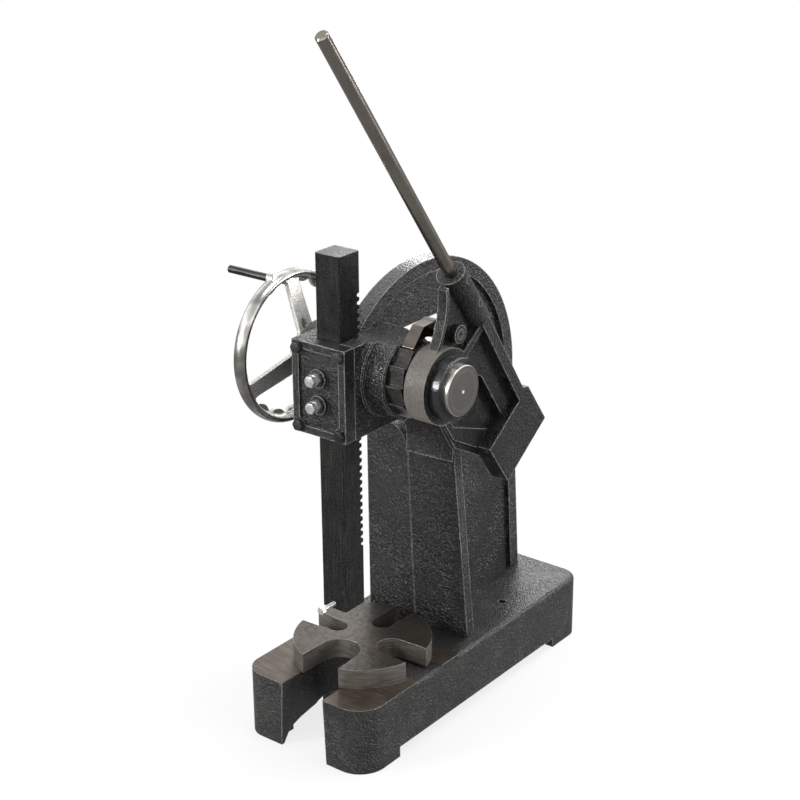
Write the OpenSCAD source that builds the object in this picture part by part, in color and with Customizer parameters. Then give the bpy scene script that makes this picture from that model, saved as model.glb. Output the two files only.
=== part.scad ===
// Ratchet arbor press: a rack ram driven by a pinion, turned by a handwheel or by a ratchet lever.
// Millimetres. The ram's axis is X = 0, Y = 0, the bench is Z = 0, the press faces -Y,
// the ratchet lever is on the +X side and the handwheel on the -X side.

/* [Base] */
// Overall width of the base
base_w = 202; // [190:1:240]
// Height of the base's machined top above the bench
base_h = 92; // [80:1:110]
// Distance from the ram's axis to the front of the base
base_front = 86; // [80:1:100]
// Distance from the ram's axis to the rear of the base
base_rear = 408; // [395:1:450]
// Plan radius of the front corner on the ratchet side
front_corner_r = 38; // [20:1:45]
// Plan radius of the front corner on the handwheel side
left_corner_r = 29; // [20:1:45]
// Plan radius of the two rear corners
rear_corner_r = 27; // [15:1:40]
// Rounding of the base's upper edges
base_edge_r = 6; // [2:1:10]
// Width of the U-shaped slot under the ram
base_slot_w = 67; // [50:1:74]
// How much wider each side of the slot is at the bottom, the casting's draft
slot_draft = 4; // [0:0.5:6]
// Height of the gaps between the feet
foot_h = 14; // [8:1:20]
// Length of each front foot from the front of the base
front_foot_l = 71; // [50:1:90]
// Length of each rear foot from the rear of the base
rear_foot_l = 70; // [50:1:100]
// Thickness of the base's cast walls and ribs
base_wall = 13; // [8:1:18]
// Thickness of the base's cast top
base_top_t = 24; // [16:1:30]
// Depth of the rough areas below the machined ones
rough_drop = 1.6; // [0.5:0.1:3]
// Distance from the ram's axis to the rear edge of the front machined pad
pad_rear = 23; // [15:1:40]
// Distance from the ram's axis to the front edge of the machined strip
strip_front = 74; // [60:1:80]
// Distance from the ram's axis to the rear edge of the machined strip
strip_rear = 111; // [100:1:125]
// Diameter of the two bench bolt holes
bench_hole_d = 11; // [9:0.5:14]
// Spacing of the two bench bolt holes
bench_hole_pitch = 123; // [110:1:140]
// Distance from the ram's axis to the bench bolt holes
bench_hole_y = 267; // [240:1:290]

/* [Column and head] */
// Thickness of the web
web_t = 10; // [8:1:16]
// Width of the rim round the head and down the rear
rim_w = 22; // [18:1:30]
// Depth of the rim, measured in from the outer edge
rim_d = 18; // [12:1:26]
// Outer radius of the round head
head_r = 193; // [180:1:200]
// Distance from the ram's axis to the centre of the round head
head_y = 163.5; // [155:0.5:170]
// Height of the centre of the round head above the bench
head_z = 407; // [395:1:420]
// How far the rear edge leans back from the head to the base
rear_lean = 23; // [0:1:40]
// Width of the front flange at the base
flange_foot_w = 166; // [140:1:180]
// Width of the front flange at its top
flange_top_w = 142; // [120:1:160]
// Thickness of the front flange
flange_t = 16; // [10:1:22]
// Distance from the ram's axis to the flange's front face at the base
flange_foot_y = 155; // [140:1:165]
// How far the flange leans forward from the base to its top
flange_lean = 17; // [5:1:25]
// Height of the flange's left half above the bench
flange_top_z = 381; // [360:1:395]
// Radius of the throat's upper corner
throat_r = 60; // [45:1:62]
// Angle of each half of the flange's front face, which makes its middle crease
prow_angle = 4; // [0:0.5:8]
// Length of the head's window
window_l = 90; // [60:1:100]
// Height of the head's window
window_h = 78; // [50:1:90]
// Distance from the ram's axis to the front of the window
window_y = 114; // [108:1:125]
// Height of the window's upper edge above the bench
window_top_z = 521; // [500:1:530]
// Corner radius of the window
window_r = 10; // [4:1:16]

/* [Ram housing] */
// Width of the ram housing
housing_w = 82; // [74:1:92]
// Height of the ram housing
housing_h = 118; // [100:1:130]
// Height of the housing's lower face above the bench
housing_z = 424; // [415:1:435]
// Distance from the ram's axis to the joint between housing and cover
joint_y = 20.5; // [20.2:0.1:24]
// Distance from the ram's axis to the rear of the housing
housing_rear = 74; // [68:1:80]
// Outer radius of the ratchet-side bearing boss
boss_r = 51.5; // [46:0.5:54]
// Distance from the ram's axis to the end of the ratchet-side boss
boss_end = 78; // [70:1:79]
// Radius of the collar where the boss meets the housing
boss_root_r = 57; // [55:1:60]
// Length of the collar where the boss meets the housing
boss_root_l = 9; // [4:1:14]
// Outer radius of the handwheel-side boss
left_boss_r = 42; // [38:1:48]
// Distance from the ram's axis to the end of the handwheel-side boss
left_boss_end = 72; // [66:1:74]
// Diameter of the oil hole in the boss
oil_hole_d = 6; // [4:0.5:8]

/* [Front cover] */
// Thickness of the front cover
cover_t = 18.8; // [16:0.2:22]
// Width of the cover's raised border
cover_border = 10; // [8:0.5:13]
// Depth of the cover's recessed panel
cover_recess = 3; // [1:0.5:5]
// Radius of the lugs round the cover's corner screws
lug_r = 9; // [7:0.5:11]
// Distance of the corner screws from the cover's edges
screw_inset = 9; // [8:0.5:12]
// Diameter of the bosses round the gib bolts
gib_boss_d = 24; // [20:1:27]
// Spacing of the two gib bolts
gib_pitch = 34; // [30:1:40]
// Thread size of the gib bolts
gib_bolt_d = 8; // [6:1:10]
// Length of gib bolt between its head and the lock nut
gib_bolt_out = 2; // [1:0.5:8]
// Thread size of the corner screws
cover_screw_d = 8; // [6:1:10]
// Thickness of the gib plate
gib_t = 8; // [6:0.5:9]
// Width of the gib plate
gib_w = 30; // [26:1:34]

/* [Ram and rack] */
// Width of the square ram
ram_w = 38; // [34:1:40]
// Length of the ram
ram_l = 467; // [440:1:500]
// Height of the ram's lower end above the bench, as photographed
ram_z = 181.5; // [175:0.5:190]
// Chamfer of the ram's long edges
ram_chamfer = 1.6; // [1:0.2:4]
// Module of the rack and pinion teeth
tooth_module = 3.175; // [2.8:0.025:3.2]
// Number of rack teeth
rack_teeth = 33; // [30:1:34]
// Distance from the ram's lower end to the first rack tooth
rack_start = 80; // [76:1:83]
// How far the nearest rack gap lies below the shaft's axis, as photographed
rack_drop = 1.8; // [0:0.1:4]
// Diameter of the tool bore in the ram's lower end
tool_bore_d = 16; // [12:1:20]
// Depth of the tool bore
tool_bore_l = 36; // [25:1:50]
// Thread size of the bolt that clamps a tool in the ram
tool_bolt_d = 6; // [5:1:8]
// Distance from the ram's lower end to the tool bolt
tool_bolt_z = 7.5; // [7:0.5:12]
// How far the tool bolt's head stands out of the ram
tool_bolt_out = 27; // [15:1:30]

/* [Shaft and ratchet] */
// Diameter of the shaft on the ratchet side
shaft_d = 62.8; // [58:0.2:66]
// Distance from the ram's axis to the shaft's ratchet-side end
shaft_end = 157.5; // [154:0.5:164]
// Diameter of the shaft's journal on the handwheel side
journal_d = 38; // [34:1:40]
// Outer diameter of the handwheel-side bush
bush_d = 50; // [46:1:56]
// Outer radius of the ratchet wheel
ratchet_r = 48; // [46:0.5:49]
// Depth of the ratchet teeth
ratchet_depth = 4.6; // [3:0.2:5]
// Width of the ratchet wheel
ratchet_w = 22; // [18:1:23]
// Outer diameter of the clamp collar
collar_d = 78; // [72:1:84]
// Thickness of the clamp collar
collar_t = 15; // [12:1:17]
// Width of the keys
key_w = 10; // [8:1:12]

/* [Ratchet lever] */
// Forward lean of the lever bar from upright, as photographed
lever_lean = 35.9; // [30:0.5:45]
// Outer radius of the lever's hub
hub_r = 47.5; // [44:0.5:50]
// Length of the lever's hub
hub_l = 29; // [24:1:29]
// Distance from the ram's axis to the inner end of the lever's hub
hub_x = 105.5; // [105:0.5:108]
// Distance from the shaft's axis to the bar's axis
bar_offset = 97.5; // [94:0.5:100]
// Distance from the ram's axis to the bar's axis, along the shaft
bar_x = 120; // [118:1:122]
// Diameter of the lever bar
bar_d = 16; // [14:1:18]
// Length of the lever bar
bar_l = 462; // [400:1:520]
// Outer radius of the bar's socket
socket_r = 18; // [16:0.5:20]
// Distance of the socket's mouth from the shaft's axis, along the bar
socket_end = 92.5; // [88:0.5:96]
// Length of the socket
socket_l = 90; // [80:1:94]
// Thickness of the casting's web
lever_web_t = 7; // [5:1:9]
// Thickness of the casting's ribs
lever_rib_t = 9; // [6:1:12]
// Thickness of the outer flange, between the socket and the counterweight
lever_flange_t = 15; // [12:1:17]
// Width of the counterweight, across the bar's direction
weight_w = 102; // [90:1:110]
// Length of the counterweight, along the bar's direction
weight_l = 69; // [55:1:80]
// Thickness of the counterweight, along the shaft
weight_t = 26; // [20:1:28]
// Distance of the counterweight from the shaft's axis, along the bar's direction
weight_u = 138; // [132:1:145]

/* [Pawl] */
// Distance from the shaft's axis to the pawl's pin
pawl_arm_r = 64; // [63:0.5:66]
// Width of the pawl
pawl_w = 17; // [14:1:19]
// Diameter of the pawl's pin
pawl_pin_d = 12; // [10:1:14]
// Wire diameter of the pawl's spring
spring_wire_d = 1.6; // [1.2:0.1:1.8]
// Number of turns of the pawl's spring
spring_turns = 1.5; // [1:0.5:1.5]

/* [Handwheel] */
// Outer diameter of the handwheel
wheel_d = 200; // [180:1:220]
// Thickness of the handwheel's rim, across the shaft
rim_section_d = 11; // [9:0.5:13]
// Width of the handwheel's rim, along the shaft
rim_section_w = 19; // [16:0.5:22]
// Distance from the ram's axis to the middle of the rim
wheel_x = 111.5; // [108:0.5:116]
// Diameter of the handwheel's hub
wheel_hub_d = 42; // [38:1:50]
// Length of the handwheel's hub
wheel_hub_l = 18; // [16:1:26]
// How far the spokes are dished, in degrees
wheel_dish = 22; // [16:0.5:23]
// Diameter of the shaft's seat in the handwheel
wheel_seat_d = 25; // [22:1:28]
// Thickness of the spokes
spoke_t = 6; // [5:0.5:9]
// Width of a spoke at the hub
spoke_root_w = 26; // [22:1:27]
// Width of a spoke at the rim
spoke_tip_w = 20; // [16:1:26]
// Number of finger grips inside the rim
grips = 18; // [12:1:20]
// How far the finger grips stand in from the rim
grip_rise = 7; // [4:0.5:8]
// Diameter of the handle
handle_d = 10; // [8:1:12]
// Diameter of the circle on which the handle stands
handle_circle_d = 195; // [185:1:200]
// Length of handle that stands out of the rim
handle_l = 66; // [50:1:90]

/* [Table plate] */
// Diameter of the table plate
plate_d = 181; // [170:1:184]
// Thickness of the table plate
plate_t = 27; // [22:1:30]
// Distance from the ram's axis to the plate's centre
plate_y = 36; // [33:1:38]
// Diameter of the plate's pivot pin
pivot_d = 16; // [12:1:18]

/* [Hidden] */
$fn = 96;

iron_black = "#26272a";
steel_dark = "#3b3c3f";
steel_plain = "#8d8a84";
steel_bright = "#c3c5c6";
chrome_bright = "#d4d6d8";
bronze = "#a9794a";

// Overrun of cuts, and the clearances of the fits
cut = 1;
running = 0.05;
seat = 0.05;
free_gap = 0.5;

// Shares of a thread's size: width across flats and height of heads and nuts
hex_share = 1.62;
head_share = 0.66;
nut_share = 0.8;

// Rack and pinion: stub teeth of 20 degrees, which fourteen teeth carry without undercut
pinion_teeth = 14;
pressure = 20;
addendum = 0.8 * tooth_module;
dedendum = 1.05 * tooth_module;
backlash = 0.08 * tooth_module;
pitch_r = tooth_module * pinion_teeth / 2;
tip_r = pitch_r + addendum;
root_r = pitch_r - dedendum;
base_r = pitch_r * cos(pressure);
tooth_pitch = PI * tooth_module;
// Quarter of a pitch in degrees of the pinion, and the half angle lost to backlash
quarter_angle = 90 / pinion_teeth;
backlash_angle = backlash / pitch_r * 180 / PI / 2;

wheel_rim_r = wheel_d / 2 - rim_section_d / 2;

// The shaft lies behind the ram, at the pitch line of the rack
shaft_y = ram_w / 2 - addendum + pitch_r;
shaft_drop = 46;
housing_top_z = housing_z + housing_h;
shaft_z = housing_top_z - shaft_drop;
rough_z = base_h - rough_drop;
throat_y = flange_foot_y - flange_lean - throat_r;
throat_z = housing_z + cut - throat_r;
joint_face = -joint_y;
cover_face = joint_face - cover_t;
ram_front = -ram_w / 2;
gib_face = ram_front - running;
pocket_depth = gib_t + seat - (joint_y + gib_face);
screw_x = housing_w / 2 - screw_inset;
screw_z = [housing_z + screw_inset, housing_top_z - screw_inset];
gib_z = [for (side = [-1, 1]) housing_z + housing_h / 2 + side * gib_pitch / 2];
gib_boss_rise = 2;
gib_washer_t = 1.6;
gib_boss_face = cover_face - gib_boss_rise;

// Places along the shaft
pinion_end = ram_w / 2 + cut;
ratchet_x = boss_end + free_gap;
collar_x = hub_x + hub_l + free_gap;
hub_gap = 10 * free_gap;
wheel_hub_start = -left_boss_end - hub_gap;
wheel_hub_end = wheel_hub_start - wheel_hub_l;
spoke_x = -wheel_hub_start + free_gap;

// The ratchet: its steep faces stand just ahead of the pawl's tip
ratchet_teeth = 12;
ratchet_pitch = 360 / ratchet_teeth;
pawl_tip_angle = 113;
pawl_heel_angle = 102;
steep_angle = pawl_tip_angle + 3;
shaft_r = shaft_d / 2;
key_h = key_w * 0.8;
key_depth = key_h / 2;

// The lever's own frame: Z along the bar, Y away from the shaft
hub_face_x = hub_x + hub_l;
lever_face_x = bar_x + socket_r;
lever_web_x = bar_x - lever_web_t / 2;
lower_web_x = hub_x + lever_web_t / 3;
weight_v = bar_offset + socket_r / 2;
pin_direction = 30;
pin_v = pawl_arm_r * cos(pin_direction);
pin_u = pawl_arm_r * sin(pin_direction);
pawl_x = ratchet_x + (ratchet_w - pawl_w) / 2;

// The pivot pin stands in the base and carries the plate
pivot_sink = 18;
pivot_rise = 16;
slot_wall = 10;
slot_r = base_slot_w / 2;
slot_centre_y = plate_y - pivot_d / 2 - slot_wall - slot_r;

// Places shapes drawn in the Y-Z plane between two planes of constant X
module along_x(x0, x1) {
  translate([x0, 0, 0]) rotate([90, 0, 90]) linear_extrude(x1 - x0) children();
}

// Places shapes drawn in the X-Z plane between two planes of constant Y
module along_y(y0, y1) {
  translate([0, y1, 0]) rotate([90, 0, 0]) linear_extrude(y1 - y0) children();
}

module x_cylinder(r, x0, x1) {
  translate([x0, 0, 0]) rotate([0, 90, 0]) cylinder(r = r, h = x1 - x0);
}

// A cylinder along X whose far end has a chamfer
module x_turned(r, x0, x1, chamfer) {
  translate([x0, 0, 0]) rotate([0, 90, 0]) rotate_extrude()
    polygon([[0, 0], [r, 0], [r, x1 - x0 - chamfer], [r - chamfer, x1 - x0], [0, x1 - x0]]);
}

module at_shaft() { translate([0, shaft_y, shaft_z]) children(); }

module at_lever() { at_shaft() rotate([lever_lean, 0, 0]) children(); }

module hexagon(flats, h) { cylinder(r = flats / sqrt(3), h = h, $fn = 6); }

// A hex bolt whose head lies in front of a face at Y = face, its shank running to +Y
module hex_bolt(d, face, length) {
  translate([0, face, 0]) rotate([90, 0, 0]) hexagon(d * hex_share, d * head_share);
  translate([0, face + length, 0]) rotate([90, 0, 0]) cylinder(r = d / 2, h = length + d * head_share / 2);
}

// A rectangle with rounded corners, its lower left corner at the origin
module rounded_rectangle(l, h, r) {
  translate([r, 0]) square([l - 2 * r, h]);
  translate([0, r]) square([l, h - 2 * r]);
  for (x = [r, l - r], y = [r, h - r]) translate([x, y]) circle(r);
}

// The base's plan: a rectangle with a circle in each corner
module base_plan() {
  x = base_w / 2;
  polygon([[left_corner_r - x, -base_front], [x - front_corner_r, -base_front],
    [x, front_corner_r - base_front], [x, base_rear], [-x, base_rear], [-x, left_corner_r - base_front]]);
  translate([x - front_corner_r, front_corner_r - base_front]) circle(front_corner_r);
  translate([left_corner_r - x, left_corner_r - base_front]) circle(left_corner_r);
}

// A corner post with a rounded upper edge; the rough part of the block spans four of them
module base_post(x, y, r) {
  translate([x, y, 0]) rotate_extrude($fn = 32) {
    square([r, rough_z - base_edge_r]);
    square([r - base_edge_r, rough_z]);
    translate([r - base_edge_r, rough_z - base_edge_r]) circle(base_edge_r);
  }
}

// The block: rounded upper edges where it is rough, sharp ones at the machined pad and strip
module base_block() {
  x = base_w / 2;
  hull() {
    base_post(x - front_corner_r, front_corner_r - base_front, front_corner_r);
    base_post(left_corner_r - x, left_corner_r - base_front, left_corner_r);
    for (side = [-1, 1])
      base_post(side * (x - rear_corner_r), base_rear - rear_corner_r, rear_corner_r);
  }
  intersection() {
    linear_extrude(base_h) base_plan();
    union() {
      translate([-base_w, -2 * base_front, 0]) cube([2 * base_w, 2 * base_front + pad_rear, 2 * base_h]);
      translate([-base_w, strip_front, 0]) cube([2 * base_w, strip_rear - strip_front, 2 * base_h]);
    }
  }
}

module base_slot() {
  taper = slot_draft * cut / base_h;
  low_r = slot_r + slot_draft + taper;
  translate([0, slot_centre_y, -cut])
    cylinder(r1 = low_r, r2 = slot_r - taper, h = base_h + 2 * cut);
  along_y(-base_front - cut, slot_centre_y)
    polygon([[-low_r, -cut], [low_r, -cut], [slot_r - taper, base_h + cut], [taper - slot_r, base_h + cut]]);
}

// The arches cut in the slot's two walls, as Y and Z shares of the base's height
slot_arch_shares = [[-0.89, -0.02], [-0.84, 0.06], [-0.75, 0.19], [-0.53, 0.26], [-0.2, 0.315],
  [-0.04, 0.39], [0.13, 0.42], [0.13, -0.02]];

module slot_arches() {
  reach = slot_r + slot_draft + base_wall;
  along_x(-reach, reach) polygon(base_h * slot_arch_shares);
}

// The cast hollows: one in each front leg, and rows of pockets between ribs behind the slot
module base_hollows() {
  depth = base_h - base_top_t;
  leg_w = (base_w - base_slot_w) / 2 - 2 * base_wall - slot_draft;
  rear_start = plate_y + pivot_d + base_wall;
  leg_l = rear_start - base_wall + base_front - front_corner_r;
  rows = 4;
  row_l = (base_rear - rear_start - base_wall) / rows;
  pocket_w = (base_w - 3 * base_wall) / 2;
  for (side = [-1, 1]) {
    translate([side * (base_w / 2 - base_wall - leg_w / 2) - leg_w / 2, front_corner_r - base_front, -cut])
      cube([leg_w, leg_l, depth + cut]);
    for (row = [0 : rows - 1])
      translate([side * (base_wall + pocket_w) / 2 - pocket_w / 2, rear_start + row * row_l, -cut])
        cube([pocket_w, row_l - base_wall, depth + cut]);
  }
}

module bench_places(r, z0, z1) {
  for (side = [-1, 1])
    translate([side * bench_hole_pitch / 2, bench_hole_y, z0]) cylinder(r = r, h = z1 - z0);
}

module base_casting() color(iron_black) difference() {
  union() {
    difference() {
      base_block();
      base_hollows();
      // The gaps between the feet, through both sides
      translate([-base_w / 2 - cut, front_foot_l - base_front, -cut])
        cube([base_w + 2 * cut, base_front + base_rear - front_foot_l - rear_foot_l, foot_h + cut]);
    }
    bench_places(bench_hole_d, foot_h, rough_z);
  }
  base_slot();
  slot_arches();
  bench_places(bench_hole_d / 2, -cut, base_h + cut);
  translate([0, plate_y, base_h - pivot_sink]) cylinder(r = pivot_d / 2 + seat, h = base_h);
}

// The column's side outline: web, head and the neck that carries the housing
module head_outline() {
  rear_top = head_y + head_r;
  translate([head_y, head_z]) circle(head_r);
  polygon([[flange_foot_y, rough_z], [rear_top + rear_lean, rough_z], [rear_top, head_z], [head_y, head_z]]);
}

module web_outline() {
  flange_y = flange_foot_y - flange_lean;
  difference() {
    head_outline();
    // The throat in front of the flange and under the housing
    polygon([[-head_r, 0], [flange_foot_y, 0], [flange_foot_y + flange_t / 2, base_h],
      [flange_y + flange_t / 2, throat_z], [throat_y, throat_z], [throat_y, housing_z + flange_t],
      [-head_r, housing_z + flange_t]]);
    translate([throat_y, throat_z]) circle(throat_r + flange_t / 2);
    // The head in front of the housing
    translate([head_y - 2 * head_r, housing_z]) square([2 * head_r - head_y + ram_w / 2 + free_gap, head_r]);
    translate([window_y, window_top_z - window_h]) rounded_rectangle(window_l, window_h, window_r);
  }
}

module rim_outline() {
  rear_top = head_y + head_r;
  intersection() {
    translate([head_y, head_z]) difference() {
      circle(head_r);
      circle(head_r - rim_d);
    }
    union() {
      translate([head_y, head_z]) square(2 * head_r);
      translate([ram_w / 2 + free_gap, housing_top_z - cut]) square(2 * head_r);
    }
  }
  polygon([[rear_top + rear_lean - rim_d, rough_z], [rear_top + rear_lean, rough_z],
    [rear_top, head_z + cut], [rear_top - rim_d, head_z + cut]]);
}

// One half of the front flange, drawn in X-Z with its middle edge at X = 0
module flange_half_outline(inner_r) {
  corner = flange_t * 1.2;
  shoulder = flange_top_z - corner;
  difference() {
    union() {
      polygon([[0, rough_z], [flange_foot_w / 2, rough_z], [flange_top_w / 2, shoulder], [0, shoulder]]);
      translate([0, shoulder - cut]) square([flange_top_w / 2 - corner, corner + cut]);
      translate([flange_top_w / 2 - corner, shoulder]) circle(corner);
    }
    translate([0, flange_top_z - inner_r]) difference() {
      square(inner_r + cut);
      translate([inner_r + cut, 0]) circle(inner_r + cut);
    }
  }
}

// How far the middle crease stands in front of the flange's edges
prow = flange_foot_w / 2 * sin(prow_angle);

module front_flange() {
  lean = atan(flange_lean / (flange_top_z - rough_z));
  for (side = [0, 1])
    intersection() {
      translate([0, flange_foot_y, rough_z]) rotate([lean, 0, 0])
        mirror([side, 0, 0]) rotate([0, 0, prow_angle])
          translate([0, -prow, -rough_z]) along_y(0, flange_t) flange_half_outline(side * 2 * flange_t);
      translate([-flange_foot_w, 0, rough_z]) cube([2 * flange_foot_w, 2 * flange_foot_y, head_z]);
    }
}

// The ratchet-side half of the flange goes on, bending forward to the boss it carries
module throat_bracket() {
  outer = throat_r + flange_t;
  intersection() {
    union() {
      translate([0, throat_y + throat_r - prow, 0]) rotate([0, 0, prow_angle])
        along_x(0, flange_top_w / 2) intersection() {
          translate([-throat_r, throat_z]) difference() {
            circle(outer);
            circle(throat_r);
          }
          translate([-throat_r, throat_z - flange_t]) square(2 * outer);
        }
      along_x(0, housing_w / 2 + boss_root_l) polygon([[throat_y - flange_t, housing_z],
        [throat_y, throat_z + throat_r], [throat_y + flange_t, throat_z + outer - cut],
        [shaft_y + boss_r * 0.9, shaft_z - flange_t], [shaft_y, shaft_z - boss_r * 0.8]]);
    }
    along_y(0, head_y) polygon([[0, rough_z], [flange_top_w / 2, rough_z], [flange_top_w / 2, flange_top_z],
      [flange_top_w * 0.44, housing_z - flange_t], [housing_w / 2 + boss_root_l, housing_z],
      [housing_w / 2 + boss_root_l, housing_top_z], [0, housing_top_z]]);
  }
}

module bearing_boss() {
  difference() {
    union() {
      at_shaft() x_turned(boss_r, 0, boss_end, flange_t / 8);
      at_shaft() x_turned(boss_root_r, 0, housing_w / 2 + boss_root_l, flange_t / 8);
      at_shaft() mirror([1, 0, 0]) x_turned(left_boss_r, 0, left_boss_end, flange_t / 8);
    }
    // The flat pad on top, level with the housing
    translate([-head_r, 0, housing_top_z]) cube([2 * head_r, head_r, head_r]);
  }
}

module column_casting() color(iron_black) difference() {
  union() {
    along_x(-web_t / 2, web_t / 2) web_outline();
    along_x(-rim_w / 2, rim_w / 2) rim_outline();
    front_flange();
    throat_bracket();
    bearing_boss();
    translate([-housing_w / 2, joint_face, housing_z])
      cube([housing_w, housing_rear - joint_face, housing_h]);
  }
  // The ram's channel, open to the cover
  translate([-ram_w / 2 - running, joint_face - cut, housing_z - cut])
    cube([ram_w + 2 * running, joint_y + cut + ram_w / 2 + running, housing_h + head_r]);
  // The pinion's chamber and the two bearings
  at_shaft() x_cylinder(tip_r + 2 * free_gap, -pinion_end - free_gap, pinion_end + free_gap);
  at_shaft() x_cylinder(shaft_r + running, 0, boss_end + cut);
  at_shaft() x_cylinder(bush_d / 2 + seat, -left_boss_end - cut, 0);
  translate([(housing_w / 2 + boss_end) / 2, shaft_y, shaft_z]) cylinder(r = oil_hole_d / 2, h = head_r);
  for (x = [-screw_x, screw_x], z = screw_z)
    translate([x, joint_face - cut, z]) rotate([-90, 0, 0])
      cylinder(r = cover_screw_d / 2 + seat, h = 3 * cover_screw_d + cut);
}

// The cover's octagonal recess, drawn round the middle of the housing's front
module cover_panel_outline() {
  half_w = housing_w / 2 - cover_border;
  half_h = housing_h / 2 - cover_border;
  bevel = lug_r;
  polygon([[-half_w + bevel, -half_h], [half_w - bevel, -half_h], [half_w, bevel - half_h],
    [half_w, half_h - bevel], [half_w - bevel, half_h], [bevel - half_w, half_h],
    [-half_w, half_h - bevel], [-half_w, bevel - half_h]]);
}

module front_cover() color(steel_dark) difference() {
  union() {
    difference() {
      translate([-housing_w / 2, cover_face, housing_z]) cube([housing_w, cover_t, housing_h]);
      translate([0, 0, housing_z + housing_h / 2])
        along_y(cover_face - cut, cover_face + cover_recess) cover_panel_outline();
    }
    for (x = [-screw_x, screw_x], z = screw_z)
      translate([x, cover_face + cover_t / 2, z]) rotate([90, 0, 0])
        cylinder(r = lug_r, h = cover_t / 2);
    for (z = gib_z)
      translate([0, cover_face + cover_t / 2, z]) rotate([90, 0, 0])
        cylinder(r = gib_boss_d / 2, h = cover_t / 2 + gib_boss_rise);
  }
  translate([-gib_w / 2 - seat, joint_face - pocket_depth, housing_z + screw_inset - seat])
    cube([gib_w + 2 * seat, pocket_depth + cut, housing_h - 2 * screw_inset + 2 * seat]);
  for (z = gib_z)
    translate([0, 0, z]) rotate([90, 0, 0]) cylinder(r = gib_bolt_d / 2 + seat, h = -gib_boss_face + cut);
  for (x = [-screw_x, screw_x], z = screw_z)
    translate([x, 0, z]) rotate([90, 0, 0]) cylinder(r = cover_screw_d / 2 + seat, h = -cover_face + cut);
}

module cover_screws() color(steel_dark)
  for (x = [-screw_x, screw_x], z = screw_z)
    translate([x, 0, z]) hex_bolt(cover_screw_d, cover_face, cover_t + 2 * cover_screw_d);

module gib_plate() color(bronze)
  translate([-gib_w / 2, gib_face - gib_t, housing_z + screw_inset])
    cube([gib_w, gib_t, housing_h - 2 * screw_inset]);

gib_nut_t = gib_bolt_d * nut_share;
gib_nut_face = gib_boss_face - gib_washer_t;
gib_head_face = gib_nut_face - gib_nut_t - gib_bolt_out;

module gib_washers() color(steel_dark)
  for (z = gib_z)
    translate([0, gib_boss_face, z]) rotate([90, 0, 0]) difference() {
      cylinder(r = gib_bolt_d * 1.06, h = gib_washer_t);
      translate([0, 0, -cut]) cylinder(r = gib_bolt_d / 2 + seat, h = gib_washer_t + 2 * cut);
    }

module gib_bolts() color(steel_bright)
  for (z = gib_z)
    translate([0, 0, z]) hex_bolt(gib_bolt_d, gib_head_face, gib_face - gib_t - gib_head_face);

module gib_lock_nuts() color(steel_bright)
  for (z = gib_z)
    translate([0, gib_nut_face, z]) rotate([90, 0, 0]) difference() {
      hexagon(gib_bolt_d * hex_share, gib_nut_t);
      translate([0, 0, -cut]) cylinder(r = gib_bolt_d / 2 + seat, h = gib_nut_t + 2 * cut);
    }

module left_bush() color(bronze) at_shaft() difference() {
  x_cylinder(bush_d / 2, -left_boss_end, -pinion_end - free_gap);
  x_cylinder(journal_d / 2 + running, -left_boss_end - cut, 0);
}

// The table: a plate with four slots of different widths, turning on a pin
module table_pivot_pin() color(steel_plain)
  translate([0, plate_y, base_h - pivot_sink]) cylinder(r = pivot_d / 2, h = pivot_sink + pivot_rise);

// Half widths of the four slots, as shares of the plate's radius, from the front anticlockwise
slot_shares = [0.31, 0.222, 0.166, 0.155];
// Distance of the slots' round ends from the plate's centre, as shares of its radius
slot_end_shares = [0.22, 0.31, 0.31, 0.31];
// How much wider each side of a slot is at the plate's edge, as a share of the plate's radius
slot_flare_share = 0.022;

module plate_slot(r, end, flare) {
  translate([end + r, 0]) circle(r);
  polygon([[end + r, -r], [plate_d / 2 + cut, -r - flare], [plate_d / 2 + cut, r + flare], [end + r, r]]);
}

module table_plate() color(steel_plain)
  translate([0, plate_y, base_h]) difference() {
    cylinder(r = plate_d / 2, h = plate_t);
    translate([0, 0, -cut]) cylinder(r = pivot_d / 2 + running, h = pivot_rise + 2 * cut);
    for (i = [0 : 3])
      rotate([0, 0, 90 * (i - 1)]) translate([0, 0, -cut]) linear_extrude(plate_t + 2 * cut)
        plate_slot(slot_shares[i] * plate_d / 2, slot_end_shares[i] * plate_d / 2,
          slot_flare_share * plate_d / 2);
  }

// The ram: a square bar with rack teeth cut in its back and a tool bore in its lower end
module rack_gap_outline() {
  slope = tan(pressure);
  half = tooth_pitch / 4 + backlash / 2;
  polygon([[half + (addendum + cut) * slope, addendum + cut], [half - dedendum * slope, -dedendum],
    [-half + dedendum * slope, -dedendum], [-half - (addendum + cut) * slope, addendum + cut]]);
}

// The number of the lowest gap, counted in pitches from the one beside the shaft
rack_zero_z = shaft_z - rack_drop;
rack_first = ceil((rack_start + ram_z - rack_zero_z) / tooth_pitch);

module ram() color(steel_dark) difference() {
  half = ram_w / 2;
  c = ram_chamfer;
  translate([0, 0, ram_z]) linear_extrude(ram_l)
    polygon([[-half + c, -half], [half - c, -half], [half, c - half], [half, half - c],
      [half - c, half], [c - half, half], [-half, half - c], [-half, c - half]]);
  for (i = [0 : rack_teeth])
    translate([0, half - addendum, rack_zero_z + (rack_first + i) * tooth_pitch])
      along_x(-ram_w, ram_w) rotate([0, 0, -90]) rack_gap_outline();
  translate([0, 0, ram_z - cut]) cylinder(r = tool_bore_d / 2, h = tool_bore_l + cut);
  translate([0, 0, ram_z + tool_bolt_z]) rotate([90, 0, 0])
    cylinder(r = tool_bolt_d / 2 + seat, h = ram_w);
}

module ram_tool_bolt() color(steel_bright)
  translate([0, 0, ram_z + tool_bolt_z])
    hex_bolt(tool_bolt_d, ram_front - tool_bolt_out + tool_bolt_d * head_share,
      tool_bolt_out - tool_bolt_d * head_share + ram_w / 2 - tool_bore_d / 2);

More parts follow.
